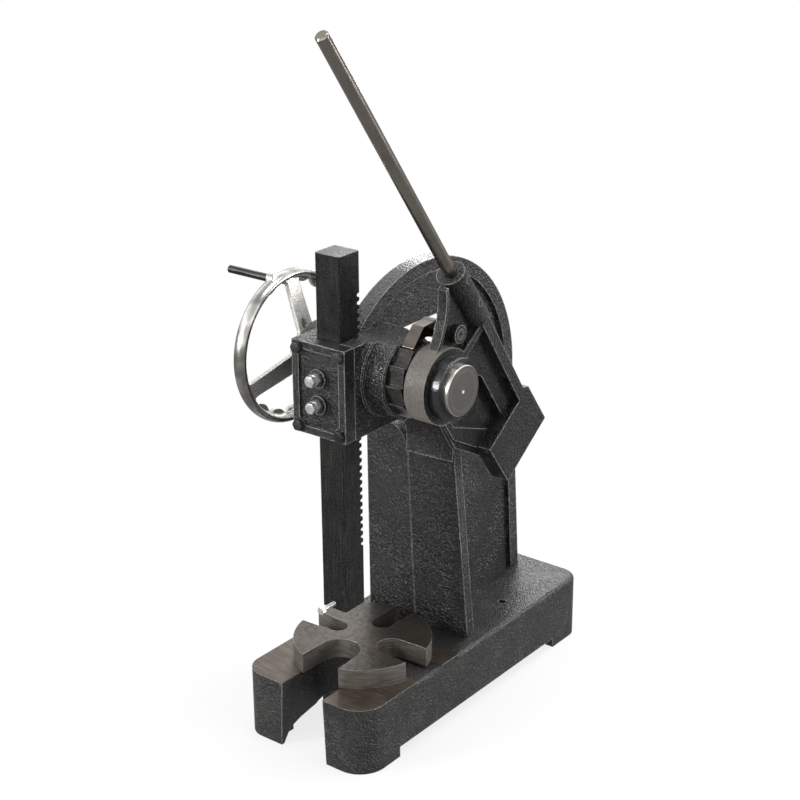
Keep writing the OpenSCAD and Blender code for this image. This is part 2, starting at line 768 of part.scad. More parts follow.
// Involute flank of the pinion: angle from the tooth's centre line at radius r
function involute(r) = r <= base_r ? 0 : (tan(acos(base_r / r)) * 180 / PI - acos(base_r / r));
function flank_angle(r) =
  quarter_angle - backlash_angle + involute(pitch_r) - involute(max(r, base_r));
flank_steps = 6;
flank_start = max(root_r, base_r);
function flank_radius(i) = flank_start + (tip_r - flank_start) * i / flank_steps;
function polar(r, a) = [r * cos(a), r * sin(a)];
function tooth_points(centre) = concat(
  [polar(root_r, centre - flank_angle(root_r))],
  [for (i = [0 : flank_steps]) polar(flank_radius(i), centre - flank_angle(flank_radius(i)))],
  [for (i = [flank_steps : -1 : 0]) polar(flank_radius(i), centre + flank_angle(flank_radius(i)))],
  [polar(root_r, centre + flank_angle(root_r))]);

// A pinion tooth points into the rack's gap beside it
pinion_phase = 180 + rack_drop / pitch_r * 180 / PI;

module pinion_outline() {
  polygon([for (k = [0 : pinion_teeth - 1]) each tooth_points(pinion_phase + 360 / pinion_teeth * k)]);
}

module pinion_shaft() color(steel_plain) at_shaft() difference() {
  union() {
    along_x(-pinion_end, pinion_end + free_gap) pinion_outline();
    x_turned(shaft_r, pinion_end + free_gap, shaft_end, cut);
    mirror([1, 0, 0]) x_cylinder(journal_d / 2, pinion_end - free_gap, -wheel_hub_start - free_gap);
    mirror([1, 0, 0]) x_turned(wheel_seat_d / 2, 0, -wheel_hub_end, cut);
  }
  // The centre left by the lathe
  translate([shaft_end + seat, 0, 0]) rotate([0, -90, 0]) cylinder(r1 = shaft_r / 12, r2 = 0, h = shaft_r / 10);
  translate([ratchet_x, -key_w / 2, shaft_r - key_depth]) cube([ratchet_w, key_w, key_h]);
  translate([wheel_hub_end - cut, -wheel_key_w / 2, wheel_seat_d / 2 - wheel_key_h / 2])
    cube([wheel_hub_l + cut - free_gap, wheel_key_w, wheel_key_h]);
}

// The ratchet wheel: each tooth slopes down from its tip to the next steep face
module ratchet_outline() {
  root = ratchet_r - ratchet_depth;
  polygon([for (k = [0 : ratchet_teeth - 1]) each [
    polar(root, steep_angle + k * ratchet_pitch),
    polar(ratchet_r, steep_angle + k * ratchet_pitch)]]);
}

module ratchet_wheel() color(steel_dark) at_shaft() difference() {
  union() {
    along_x(ratchet_x, ratchet_x + ratchet_w) ratchet_outline();
    x_cylinder(shaft_r + key_h, ratchet_x, hub_x - free_gap);
  }
  x_cylinder(shaft_r + seat, ratchet_x - cut, hub_x);
  translate([ratchet_x - cut, -key_w / 2 - seat, 0])
    cube([ratchet_w + cut, key_w + 2 * seat, shaft_r - key_depth + key_h + seat]);
}

module ratchet_key() color(steel_plain) at_shaft()
  translate([ratchet_x, -key_w / 2, shaft_r - key_depth]) cube([ratchet_w - seat, key_w, key_h]);

collar_screw_d = collar_t / 2;

module shaft_collar() color(steel_dark) at_shaft() difference() {
  x_turned(collar_d / 2, collar_x, collar_x + collar_t, collar_t / 10);
  x_cylinder(shaft_r + seat, collar_x - cut, collar_x + collar_t + cut);
  translate([collar_x + collar_t / 2, 0, 0]) cylinder(r = collar_screw_d / 2 + seat, h = collar_d);
}

module collar_set_screw() color(steel_dark) at_shaft()
  translate([collar_x + collar_t / 2, 0, shaft_r + seat])
    cylinder(r = collar_screw_d / 2, h = (collar_d - shaft_d) / 2 - cut);

// Outlines of the lever casting in its own frame, as shares of the counterweight's distance:
// the centre and the radius of the curved rib between the socket and the hub
rib_centre_share = [-0.107, 1.022];
rib_radius_share = 0.722;
// The thin web below the hub
lower_web_shares = [[-0.145, -0.29], [-0.167, -0.76], [0.03, -1.16], [0.65, -1.16], [0.65, 0.03],
  [0, 0]];
// The raised panel between the thin web and the outer flange
panel_shares = [[0.29, 0.07], [0.65, 0.07], [0.62, -1.02], [0.406, -1.02], [0.42, -0.42],
  [0.36, -0.29], [0.3, -0.14]];
// The low skirt along the web's lower edge
skirt_shares = [[-0.145, -0.43], [-0.153, -0.64], [0.03, -1.02], [0.25, -1.02], [-0.08, -0.54],
  [-0.08, -0.43]];
// The outer flange, and how far it slants towards the counterweight
flange_slant_share = 0.042;

// The web and the rib lie outside a circle and end just under the socket's mouth
module outside_rib_circle() {
  difference() {
    square([bar_offset, socket_end - cut]);
    translate(weight_u * rib_centre_share) circle(weight_u * rib_radius_share);
  }
}

module curved_rib_outline() {
  intersection() {
    outside_rib_circle();
    translate(weight_u * rib_centre_share) circle(weight_u * rib_radius_share + lever_rib_t / 2);
  }
}

module outer_flange_outline() {
  top = lever_rib_t;
  outer = bar_offset + socket_r / 3;
  slant = flange_slant_share * weight_u;
  polygon([[outer, top], [outer - slant, -weight_u - cut],
    [outer - slant - lever_flange_t, -weight_u - cut], [outer - lever_flange_t, top]]);
}

module weight_outline() {
  end = -weight_u - weight_l;
  chamfer = lever_rib_t;
  polygon([[weight_v, end], [weight_v, -weight_u], [weight_v - chamfer, chamfer - weight_u],
    [weight_v - 2 * chamfer, -weight_u], [weight_v - weight_w, -weight_u], [weight_v - weight_w, end]]);
}

module lever_casting() color(iron_black) at_lever() difference() {
  union() {
    x_cylinder(hub_r, hub_x, hub_face_x);
    along_x(lever_web_x, lever_web_x + lever_web_t) outside_rib_circle();
    along_x(lever_web_x + lever_web_t * 0.8, lever_web_x + lever_web_t * 1.85) curved_rib_outline();
    along_x(lower_web_x, hub_face_x) translate([hub_r * 0.8, 0])
      square([bar_offset - hub_r * 0.8 - lever_flange_t / 2, lever_rib_t]);
    along_x(lower_web_x, lower_web_x + lever_web_t) polygon(weight_u * lower_web_shares);
    along_x(lower_web_x, lower_web_x + lever_web_t * 1.5) polygon(weight_u * skirt_shares);
    along_x(lower_web_x, lower_web_x + lever_web_t * 2.7) polygon(weight_u * panel_shares);
    along_x(lower_web_x, lever_face_x) outer_flange_outline();
    along_x(lever_face_x - weight_t, lever_face_x) weight_outline();
    translate([bar_x, bar_offset, socket_end - socket_l]) cylinder(r = socket_r, h = socket_l);
    translate([0, pin_v, pin_u]) x_cylinder(pawl_eye_r, hub_x, hub_face_x);
  }
  x_cylinder(shaft_r + running, hub_x - cut, hub_face_x + cut);
  translate([bar_x, bar_offset, socket_end - socket_l + bar_d / 2])
    cylinder(r = bar_d / 2 + seat, h = socket_l);
  translate([0, pin_v, pin_u]) x_cylinder(pawl_pin_d / 2 + seat, hub_x - pawl_w, hub_face_x + cut);
  bar_screw_places(socket_r + cut, bar_screw_d / 2 + seat);
}

bar_screw_d = bar_d / 2;
bar_screw_direction = 15;
bar_screw_shares = [0.16, 0.63];

module bar_screw_places(reach, r) {
  for (share = bar_screw_shares)
    translate([bar_x, bar_offset, socket_end - socket_l * share]) rotate([0, 0, bar_screw_direction])
      rotate([0, 90, 0]) translate([0, 0, bar_d / 2 + seat]) cylinder(r = r, h = reach - bar_d / 2);
}

module lever_bar() color(steel_plain) at_lever()
  translate([bar_x, bar_offset, socket_end - socket_l + bar_d / 2]) rotate([0, -90, 0])
    x_turned(bar_d / 2, 0, bar_l, bar_d / 10);

module bar_set_screws() color(steel_dark) at_lever()
  bar_screw_places(socket_r - cut, bar_screw_d / 2);

// The pawl: a bent dog whose tip rides over the teeth and drops in behind a steep face
pawl_eye_r = pawl_pin_d * 0.95;
pawl_pin = polar(pawl_arm_r, pin_direction + lever_lean);

module pawl_arm_outline() {
  tip_reach = ratchet_r + 2 * free_gap;
  inside = pawl_eye_r * 0.9;
  polygon([polar(tip_reach, pawl_tip_angle), polar(pawl_arm_r * 1.045, 88.5), pawl_pin + polar(inside, 93),
    pawl_pin + polar(inside, -100), polar(pawl_arm_r * 0.84, 83), polar(tip_reach, pawl_heel_angle)]);
}

module pawl() color(steel_plain) at_shaft() difference() {
  union() {
    along_x(pawl_x, pawl_x + pawl_w) pawl_arm_outline();
    translate([0, pawl_pin[0], pawl_pin[1]]) x_cylinder(pawl_eye_r, pawl_x, pawl_x + pawl_w);
  }
  translate([0, pawl_pin[0], pawl_pin[1]])
    x_cylinder(pawl_pin_d / 2 + running, pawl_x - cut, pawl_x + pawl_w + cut);
}

module pawl_pin() color(steel_plain) at_lever() translate([0, pin_v, pin_u]) difference() {
  union() {
    x_cylinder(pawl_pin_d / 2, pawl_x - free_gap, hub_face_x);
    x_cylinder(pawl_pin_d * 0.7, pawl_x - free_gap - pawl_pin_d / 4, pawl_x - free_gap);
  }
  x_cylinder(pawl_pin_d / 6, hub_face_x - pawl_pin_d / 3, hub_face_x + cut);
}

// The pawl's spring: an open coil round the pin between the pawl and the lever
spring_sides = 6;
spring_rings = 8;
spring_r = pawl_pin_d / 2 + spring_wire_d;
spring_x0 = pawl_x + pawl_w + free_gap + spring_wire_d / 2;
spring_x1 = hub_x - 2 * free_gap - spring_wire_d / 2;
spring_count = spring_rings * spring_turns;

// The least gap between two curls, measured on the middle line of the wire
function spring_centre(i) = [spring_x0 + (spring_x1 - spring_x0) * i / spring_count,
  spring_r * cos(360 * i / spring_rings), spring_r * sin(360 * i / spring_rings)];
spring_gap = min([for (i = [0 : spring_count - 1], k = [i + spring_rings / 2 : spring_count])
  norm(spring_centre(i) - spring_centre(k))]) - spring_wire_d;
echo(pawl_spring_least_gap = spring_gap);

function spring_point(i, j) =
  let (turn = 360 * i / spring_rings, around = 360 * j / spring_sides,
    r = spring_r + spring_wire_d / 2 * cos(around))
  [spring_x0 + (spring_x1 - spring_x0) * i / spring_count + spring_wire_d / 2 * sin(around),
    r * cos(turn), r * sin(turn)];

module pawl_spring() color(steel_bright) at_lever() translate([0, pin_v, pin_u])
  polyhedron(
    points = [for (i = [0 : spring_count], j = [0 : spring_sides - 1]) spring_point(i, j)],
    faces = concat(
      [[for (j = [0 : spring_sides - 1]) j]],
      [for (i = [0 : spring_count - 1], j = [0 : spring_sides - 1])
        each let (a = i * spring_sides, b = a + spring_sides, n = (j + 1) % spring_sides)
          [[a + j, b + j, b + n], [a + j, b + n, a + n]]],
      [[for (j = [spring_sides - 1 : -1 : 0]) spring_count * spring_sides + j]]));

// The handwheel: an oval rim with finger grips inside its outer half, and dished spokes
wheel_key_w = wheel_seat_d / 4;
wheel_key_h = wheel_key_w;
handle_angle = 106;
handle_boss_r = handle_d * 0.7;
handle_start = rim_section_w / 10;
spoke_angle = 87;
rim_inside_r = wheel_rim_r - rim_section_d / 2;
spoke_fillet_r = spoke_root_w;
rim_fillet_r = spoke_tip_w / 2;
rim_section_points = 32;
grip_t = rim_section_w / 3;
grip_x = wheel_x + rim_section_w * 0.38;
grip_angle = 92;
wheel_screw_d = wheel_seat_d / 3;

// One spoke along the first axis, with a hollow fillet at each side of both ends
module spoke_outline() {
  root = spoke_root_w / 2;
  tip = spoke_tip_w / 2;
  hub = wheel_hub_d / 2 - free_gap;
  along = sqrt((hub + spoke_fillet_r) ^ 2 - (root + spoke_fillet_r) ^ 2);
  touch = [along, root + spoke_fillet_r] * hub / (hub + spoke_fillet_r);
  polygon([[0, -root], [wheel_rim_r, -tip], [wheel_rim_r, tip], [0, root]]);
  for (side = [0, 1]) mirror([0, side]) {
    difference() {
      polygon([[0, 0], [along, root - cut], [along, root], touch]);
      translate([along, root + spoke_fillet_r]) circle(spoke_fillet_r);
    }
    difference() {
      translate([rim_inside_r - rim_fillet_r, 0]) square([rim_fillet_r + cut, tip + rim_fillet_r]);
      translate([rim_inside_r - rim_fillet_r, tip + rim_fillet_r]) circle(rim_fillet_r);
    }
  }
}

// The finger grips: round humps on the inside of the rim's outer half
module finger_grips() {
  half = PI * rim_inside_r / grips * 0.96;
  r = (half ^ 2 + grip_rise ^ 2) / (2 * grip_rise);
  along_x(-grip_x, grip_t - grip_x) difference() {
    circle(wheel_rim_r);
    difference() {
      circle(wheel_rim_r - rim_section_d / 4);
      for (i = [0 : grips - 1]) rotate(grip_angle + 360 / grips * i)
        translate([rim_inside_r - grip_rise + r, 0]) circle(r);
    }
  }
}

module handwheel() color(chrome_bright) at_shaft() difference() {
  union() {
    translate([-wheel_x, 0, 0]) rotate([0, 90, 0]) rotate_extrude()
      polygon([for (i = [0.5 : rim_section_points]) let (a = 360 * i / rim_section_points)
        [wheel_rim_r + rim_section_d / 2 * cos(a), rim_section_w / 2 * sin(a)]]);
    finger_grips();
    x_cylinder(wheel_hub_d / 2, wheel_hub_end, wheel_hub_start);
    for (i = [0 : 2])
      rotate([spoke_angle + 120 * i, 0, 0]) translate([-spoke_x, 0, 0]) rotate([0, 0, wheel_dish])
        along_x(-spoke_t / 2, spoke_t / 2) scale(1 / cos(wheel_dish)) spoke_outline();
    handle_place() x_cylinder(handle_boss_r, -wheel_x - rim_section_w * 0.52, handle_start - wheel_x);
  }
  x_cylinder(wheel_seat_d / 2 + seat, wheel_hub_end - cut, wheel_hub_start + cut);
  // The spokes end with the hub, short of the shaft's shoulder
  x_cylinder(wheel_hub_d / 2 + cut, wheel_hub_start - seat, wheel_hub_start + spoke_t);
  translate([wheel_hub_end - cut, -wheel_key_w / 2 - seat, 0])
    cube([wheel_hub_l + 2 * cut, wheel_key_w + 2 * seat, wheel_seat_d / 2 + wheel_key_h / 2 + seat]);
  handle_place() x_cylinder(handle_d / 2 + seat, -wheel_x - rim_section_w, -wheel_x - handle_start);
  translate([wheel_hub_end + wheel_screw_d, 0, 0]) cylinder(r = wheel_screw_d / 2 + seat, h = wheel_hub_d);
}

module handle_place() {
  rotate([handle_angle, 0, 0]) translate([0, handle_circle_d / 2, 0]) children();
}

module handwheel_handle() color(steel_dark) at_shaft() handle_place() mirror([1, 0, 0])
  x_turned(handle_d / 2, wheel_x + handle_start + seat, wheel_x + rim_section_w / 2 + handle_l,
    handle_d / 8);

module handwheel_key() color(steel_plain) at_shaft()
  translate([wheel_hub_end + seat, -wheel_key_w / 2, wheel_seat_d / 2 - wheel_key_h / 2])
    cube([wheel_hub_l - free_gap - 2 * seat, wheel_key_w, wheel_key_h]);

// The screw that holds the handwheel bears on its key
module handwheel_set_screw() color(steel_dark) at_shaft()
  translate([wheel_hub_end + wheel_screw_d, 0, wheel_seat_d / 2 + wheel_key_h / 2 + seat])
    cylinder(r = wheel_screw_d / 2, h = (wheel_hub_d - wheel_seat_d - wheel_key_h) / 2 - cut);

base_casting();
column_casting();
front_cover();
cover_screws();
gib_plate();
gib_washers();
gib_bolts();
gib_lock_nuts();
left_bush();
table_pivot_pin();
table_plate();
ram();
ram_tool_bolt();
pinion_shaft();
ratchet_wheel();
ratchet_key();
shaft_collar();
collar_set_screw();
lever_casting();
lever_bar();
bar_set_screws();
pawl();
pawl_pin();
pawl_spring();
handwheel();
handwheel_handle();
handwheel_key();
handwheel_set_screw();
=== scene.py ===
"""Looks of a ratchet arbor press: finishes, the pieces modelled here, the light and the camera."""

import logging
import math
from dataclasses import dataclass, field
from enum import Enum

import bpy
from mathutils import Matrix, Vector

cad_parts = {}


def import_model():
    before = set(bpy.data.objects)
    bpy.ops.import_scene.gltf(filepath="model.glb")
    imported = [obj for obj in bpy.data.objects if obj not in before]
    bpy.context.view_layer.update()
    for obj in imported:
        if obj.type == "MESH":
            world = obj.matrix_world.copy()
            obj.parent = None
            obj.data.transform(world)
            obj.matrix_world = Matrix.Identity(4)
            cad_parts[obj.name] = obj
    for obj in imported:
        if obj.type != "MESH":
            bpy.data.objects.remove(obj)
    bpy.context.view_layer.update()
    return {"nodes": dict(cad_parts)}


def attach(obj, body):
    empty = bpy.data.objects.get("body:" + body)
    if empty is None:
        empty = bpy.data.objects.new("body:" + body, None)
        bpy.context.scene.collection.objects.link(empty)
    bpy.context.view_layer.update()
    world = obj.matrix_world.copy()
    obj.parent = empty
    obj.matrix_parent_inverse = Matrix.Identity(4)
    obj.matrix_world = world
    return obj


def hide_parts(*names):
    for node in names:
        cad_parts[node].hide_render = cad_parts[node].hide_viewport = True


LOG = logging.getLogger("arbor_press")
MM = 0.001

# The shaft's axis runs along X through this point, in metres
SHAFT_Y = 0.038685
SHAFT_Z = 0.496
# The base's machined top is this high; its rough parts lie 1.6 mm lower
BASE_TOP = 0.092

# Rays that the nodes which look for edges send out at each point
EDGE_SAMPLES = 6
# Share of open sky round an outer edge: where wear starts, and where it is full
OPEN_SKY = (0.72, 0.94)
# How alike the true and the rounded direction are: where wear starts, and where it is full
TURNED = (0.96, 0.82)

# Limits between a noise's two looks; noise keeps near 0.5, so close limits make hard patches
SOFT = (0.3, 0.7)
EVEN = (0.35, 0.65)
MOST = (0.35, 0.7)
SOME = (0.4, 0.7)
PATCHES = (0.4, 0.65)

# Colour, darker colour, roughness and metallic of metals that several pieces share
BRONZE = ("#b08350", "#7f5a33", 0.4, 1.0)
PLAIN_STEEL = ("#8d8a84", "#6d6a64", 0.38, 1.0)
BLACK_SCREW = ("#303133", "#232425", 0.4, 0.3)
BRIGHT_ZINC = ("#e8e8e6", "#d8d8d6", 0.25, 0.8)
# Steel rubbed bright along an edge
BRIGHT_EDGE = "#c9c5bd"
WHITE = (1, 1, 1, 1)
# Faces that meet at less than this are shaded as one
SMOOTH_ANGLE = math.radians(32)


class Axis(Enum):
    """The direction in which tool marks run, as their squeeze along X, Y and Z."""

    ALONG_X = (0.03, 1.0, 1.0)
    ALONG_Y = (1.0, 0.03, 1.0)
    ALONG_Z = (1.0, 1.0, 0.03)


def linear(code: str) -> tuple[float, float, float, float]:
    """Turns an sRGB hex colour into the linear colour that Blender's sockets hold.

    Args:
        code: A colour such as "#26272a".

    Returns:
        Red, green, blue and an alpha of 1.
    """
    parts = [int(code[i : i + 2], 16) / 255 for i in (1, 3, 5)]
    red, green, blue = (c / 12.92 if c <= 0.04045 else ((c + 0.055) / 1.055) ** 2.4 for c in parts)
    return red, green, blue, 1.0


def add(
    tree: bpy.types.NodeTree,
    kind: str,
    settings: dict[str | int, object] | None = None,
    links: dict[str | int, bpy.types.NodeSocket] | None = None,
) -> bpy.types.Node:
    """Adds one shader node, sets its values and links its inputs.

    Args:
        tree: The material's node tree.
        kind: The node's type without its "ShaderNode" start.
        settings: Values; a lower-case name is a property, any other name or number an input.
        links: The socket that each named or numbered input reads.

    Returns:
        The new node.
    """
    node = tree.nodes.new("ShaderNode" + kind)
    for key, value in (settings or {}).items():
        if isinstance(key, str) and key.islower():
            setattr(node, key, value)
        else:
            node.inputs[key].default_value = value
    for key, socket in (links or {}).items():
        tree.links.new(socket, node.inputs[key])
    return node


class Surface:
    """One material's node tree, with the patterns that the finishes are put together from.

    Every pattern reads the piece's own coordinates, turned into millimetres.
    """

    def __init__(self, name: str, roughness: float, metallic: float) -> None:
        """Starts a material with a plain Principled shader.

        Args:
            name: The material's name.
            roughness: Its roughness where nothing varies it.
            metallic: 1 for bare metal, 0 for paint.
        """
        self.material = bpy.data.materials.new(name)
        self.material.use_nodes = True
        self.tree = self.material.node_tree
        self.shader = self.tree.nodes["Principled BSDF"]
        self.shader.inputs["Roughness"].default_value = roughness
        self.shader.inputs["Metallic"].default_value = metallic
        place = add(self.tree, "TexCoord")
        to_mm = {"Scale": (1 / MM, 1 / MM, 1 / MM)}
        scale = add(self.tree, "Mapping", to_mm, {"Vector": place.outputs["Object"]})
        self.place = scale.outputs["Vector"]

    def noise(
        self,
        size: float,
        squeeze: tuple[float, float, float] = (1, 1, 1),
        detail: float = 3.0,
        shift: float = 0.0,
    ) -> bpy.types.NodeSocket:
        """Gives a cloudy pattern.

        Args:
            size: The width of one cloud in millimetres.
            squeeze: How the pattern is stretched along each axis; a small number makes streaks.
            detail: Octaves of finer noise.
            shift: Moves the pattern, so that two of them differ.

        Returns:
            A value from about 0 to 1.
        """
        moved = add(
            self.tree,
            "Mapping",
            {"Scale": squeeze, "Location": (shift, shift, shift)},
            {"Vector": self.place},
        )
        node = add(
            self.tree,
            "TexNoise",
            {"Scale": 1 / size, "Detail": detail, "Roughness": 0.55},
            {"Vector": moved.outputs["Vector"]},
        )
        return node.outputs["Fac"]

    def rings(self, width: float) -> bpy.types.NodeSocket:
        """Gives uneven rings round the shaft's axis, on end faces and round ones alike.

        Args:
            width: The distance from one ring to the next in millimetres.

        Returns:
            A value from about 0 to 1.
        """
        path = add(self.tree, "CombineXYZ", {}, {"X": self.radius(), "Y": self.axis("X")})
        node = add(
            self.tree,
            "TexNoise",
            {"Scale": 1 / width, "Detail": 2.0, "Roughness": 0.6},
            {"Vector": path.outputs["Vector"]},
        )
        return node.outputs["Fac"]

    def math(
        self, operation: str, first: object, second: object = 0.0, clamp: bool = False
    ) -> bpy.types.NodeSocket:
        """Works out one sum; each side is a number or a socket.

        Args:
            operation: Blender's name of the sum.
            first: The first number or socket.
            second: The second number or socket.
            clamp: Whether the result is kept from 0 to 1.

        Returns:
            The result.
        """
        sides = {0: first, 1: second}
        numbers = {k: v for k, v in sides.items() if isinstance(v, (int, float))}
        sockets = {k: v for k, v in sides.items() if not isinstance(v, (int, float))}
        settings = {"operation": operation, "use_clamp": clamp, **numbers}
        return add(self.tree, "Math", settings, sockets).outputs[0]

    def band(
        self,
        value: bpy.types.NodeSocket,
        low: float,
        high: float,
        to: tuple[float, float] = (0, 1),
    ) -> bpy.types.NodeSocket:
        """Maps a value's range to another one, held at both ends.

        Args:
            value: The value to map.
            low: Where the first end lies.
            high: Where the second end lies.
            to: What the two ends become.

        Returns:
            The mapped value.
        """
        ends = {"From Min": low, "From Max": high, "To Min": to[0], "To Max": to[1]}
        settings = {**ends, "interpolation_type": "SMOOTHSTEP"}
        return add(self.tree, "MapRange", settings, {"Value": value}).outputs["Result"]

    def axis(self, letter: str) -> bpy.types.NodeSocket:
        """Gives one coordinate in millimetres."""
        return add(self.tree, "SeparateXYZ", {}, {0: self.place}).outputs[letter]

    def facing(self, letter: str) -> bpy.types.NodeSocket:
        """Gives one part of the surface's own direction, from -1 to 1."""
        normal = add(self.tree, "NewGeometry").outputs["True Normal"]
        return add(self.tree, "SeparateXYZ", {}, {0: normal}).outputs[letter]

    def radius(self) -> bpy.types.NodeSocket:
        """Works out how far each point lies from the shaft's axis.

        Returns:
            The distance in millimetres.
        """
        y = self.math("SUBTRACT", self.axis("Y"), SHAFT_Y / MM)
        z = self.math("SUBTRACT", self.axis("Z"), SHAFT_Z / MM)
        squares = self.math("ADD", self.math("MULTIPLY", y, y), self.math("MULTIPLY", z, z))
        return self.math("SQRT", squares)

    def edges(self, width: float) -> bpy.types.NodeSocket:
        """Finds the sharp outer edges, where paint wears and metal shines.

        Args:
            width: How far the edge reaches, in millimetres.

        Returns:
            1 at an outer edge, and 0 on a flat face or in a corner.
        """
        soft = add(self.tree, "Bevel", {"samples": EDGE_SAMPLES, "Radius": width * MM})
        hard = add(self.tree, "NewGeometry")
        same = add(
            self.tree,
            "VectorMath",
            {"operation": "DOT_PRODUCT"},
            {0: soft.outputs["Normal"], 1: hard.outputs["Normal"]},
        )
        sky = add(self.tree, "AmbientOcclusion", {"samples": EDGE_SAMPLES, "Distance": 2 * width * MM})
        outer = self.band(sky.outputs["AO"], *OPEN_SKY)
        return self.math("MULTIPLY", self.band(same.outputs["Value"], *TURNED), outer)

    def blend(self, share: object, first: object, second: object) -> bpy.types.NodeSocket:
        """Mixes two colours.

        Args:
            share: How much of the second colour shows.
            first: The first colour, a hex code or a socket.
            second: The second colour, a hex code or a socket.

        Returns:
            The mixed colour.
        """
        settings: dict[str | int, object] = {"data_type": "RGBA"}
        links: dict[str | int, bpy.types.NodeSocket] = {}
        for key, value in (("Factor", share), (6, first), (7, second)):
            if isinstance(value, str):
                settings[key] = linear(value)
            elif isinstance(value, (int, float)):
                settings[0] = value
            else:
                links[0 if key == "Factor" else key] = value
        return add(self.tree, "Mix", settings, links).outputs[2]

    def set(self, socket: str, value: bpy.types.NodeSocket) -> None:
        """Links a pattern to one socket of the shader."""
        self.tree.links.new(value, self.shader.inputs[socket])

    def relief(self, height: bpy.types.NodeSocket, depth: float, rounding: float = 0.0) -> None:
        """Raises the surface by a pattern and rounds its sharp edges.

        Args:
            height: The pattern, from 0 to 1.
            depth: The height in millimetres at 1.
            rounding: Radius of the edges in millimetres.
        """
        links = {"Height": height}
        if rounding:
            soft = add(self.tree, "Bevel", {"samples": EDGE_SAMPLES, "Radius": rounding * MM})
            links["Normal"] = soft.outputs["Normal"]
        bump = add(self.tree, "Bump", {"Strength": 1.0, "Distance": depth * MM}, links)
        self.set("Normal", bump.outputs["Normal"])


@dataclass(frozen=True)
class Finish:
    """What every finish has: a name, a colour and how it takes the light."""

    name: str
    colour: str
    dark: str
    roughness: float
    metallic: float = 0.0

    def start(self) -> Surface:
        """Starts this finish's material."""
        return Surface(self.name, self.roughness, self.metallic)

    def spread(self, less: float, more: float) -> tuple[float, float]:
        """Gives the roughness of the smoothest and of the dullest spots."""
        return self.roughness - less, self.roughness + more

    def build(self) -> bpy.types.Material:
        """Builds the material; each finish does it in its own way."""
        raise NotImplementedError


@dataclass(frozen=True)
class CastPaint(Finish):
    """Gloss paint brushed over sand-cast iron: it rounds the sand's grains and shines on each."""

    grain: float = 2.6
    depth: float = 0.6
    # Share and colour of the highlight painted on the grains' upper slopes
    grain_highlight: float = 0.36
    wear_and_grain_highlight: str = "#a5a29b"
    bare: str = "#c4c1ba"
    edge_width: float = 2.4
    edge_share: float = 0.85
    sheen: float = 0.6
    tool_top: bool = False
    brown_hub: bool = False
    # Radii in millimetres where the hub's worn face ends and where it is fully worn
    hub_radii: tuple[float, float] = (51, 48.2)
    hub_colour: str = "#6b6660"
    # Depths in millimetres below the base's top where the milled look ends and where it is full
    milled_depths: tuple[float, float] = (0.9, 0.4)
    milled_dark: str = "#3c342d"
    milled_light: str = "#6f655b"
    milled_stain: str = "#4d433a"
    milled_roughness: float = 0.42
    milled_metallic: float = 0.8

    def build(self) -> bpy.types.Material:
        """Builds the paint, its lumps with highlights painted on their upper slopes and, on base and
        lever, the machined areas.

        Returns:
            The material.
        """
        s = self.start()
        s.shader.inputs["Specular IOR Level"].default_value = self.sheen
        lumps = s.band(s.noise(self.grain, detail=2.0), 0.33, 0.67)
        fine = s.noise(self.grain * 0.4, detail=1.0, shift=7)
        clouds = s.noise(55, detail=3.0, shift=3)
        colour = s.blend(s.band(clouds, *MOST), self.dark, self.colour)
        # Painted highlight: the grains' upper slopes are painted lighter, as if lit from above, and the
        # paint stays black below them
        above = s.noise(self.grain, detail=2.0, shift=0.4)
        slope = s.band(s.math("SUBTRACT", s.noise(self.grain, detail=2.0), above), 0.02, 0.15)
        patchy = s.band(clouds, 0.36, 0.66, (0.35, 1))
        painted_highlight = s.math("MULTIPLY", s.math("MULTIPLY", slope, patchy), self.grain_highlight)
        colour = s.blend(painted_highlight, colour, self.wear_and_grain_highlight)
        edge = s.math("MULTIPLY", s.edges(self.edge_width), s.band(lumps, 0.1, 0.6, (0.4, 1)))
        colour = s.blend(s.math("MULTIPLY", edge, self.edge_share), colour, self.bare)
        rough = s.band(clouds, *SOFT, self.spread(0.06, 0.08))
        height = s.math("ADD", s.math("MULTIPLY", lumps, 0.75), s.math("MULTIPLY", fine, 0.25))
        if self.brown_hub:
            # The hub's round face is worn to a grey-brown, and its end is painted
            side = s.math("SUBTRACT", 1, s.math("ABSOLUTE", s.facing("X")), clamp=True)
            hub = s.math("MULTIPLY", s.band(s.radius(), *self.hub_radii), s.band(side, 0.3, 0.7))
            hub = s.math("MULTIPLY", hub, s.band(s.noise(2.4, shift=5), 0.3, 0.6, (0.65, 1)))
            colour = s.blend(hub, colour, self.hub_colour)
            rough = s.math("ADD", rough, s.math("MULTIPLY", hub, 0.1), clamp=True)
            height = s.math("MULTIPLY", height, s.math("SUBTRACT", 1, s.math("MULTIPLY", hub, 0.5)))
        if self.tool_top:
            # The milled areas: level with the top, marked across the base by the cutter
            low, full = (BASE_TOP / MM - depth for depth in self.milled_depths)
            high = s.band(s.axis("Z"), low, full)
            top = s.math("MULTIPLY", high, s.band(s.facing("Z"), 0.9, 0.97))
            marks = s.noise(0.9, Axis.ALONG_X.value, detail=4.0)
            steel = s.blend(s.band(marks, *EVEN), self.milled_dark, self.milled_light)
            stains = s.band(s.noise(24, shift=9), *MOST, (0, 0.7))
            steel = s.blend(stains, steel, self.milled_stain)
            colour = s.blend(top, colour, steel)
            s.set("Metallic", s.math("MULTIPLY", top, self.milled_metallic))
            painted = s.math("MULTIPLY", rough, s.math("SUBTRACT", 1, top))
            rough = s.math("ADD", painted, s.math("MULTIPLY", top, self.milled_roughness))
            flat = s.math("SUBTRACT", 1, s.math("MULTIPLY", top, 0.95))
            height = s.math("MULTIPLY", height, flat)
        s.set("Base Color", colour)
        s.set("Roughness", rough)
        s.relief(height, self.depth, rounding=1.2)
        return s.material


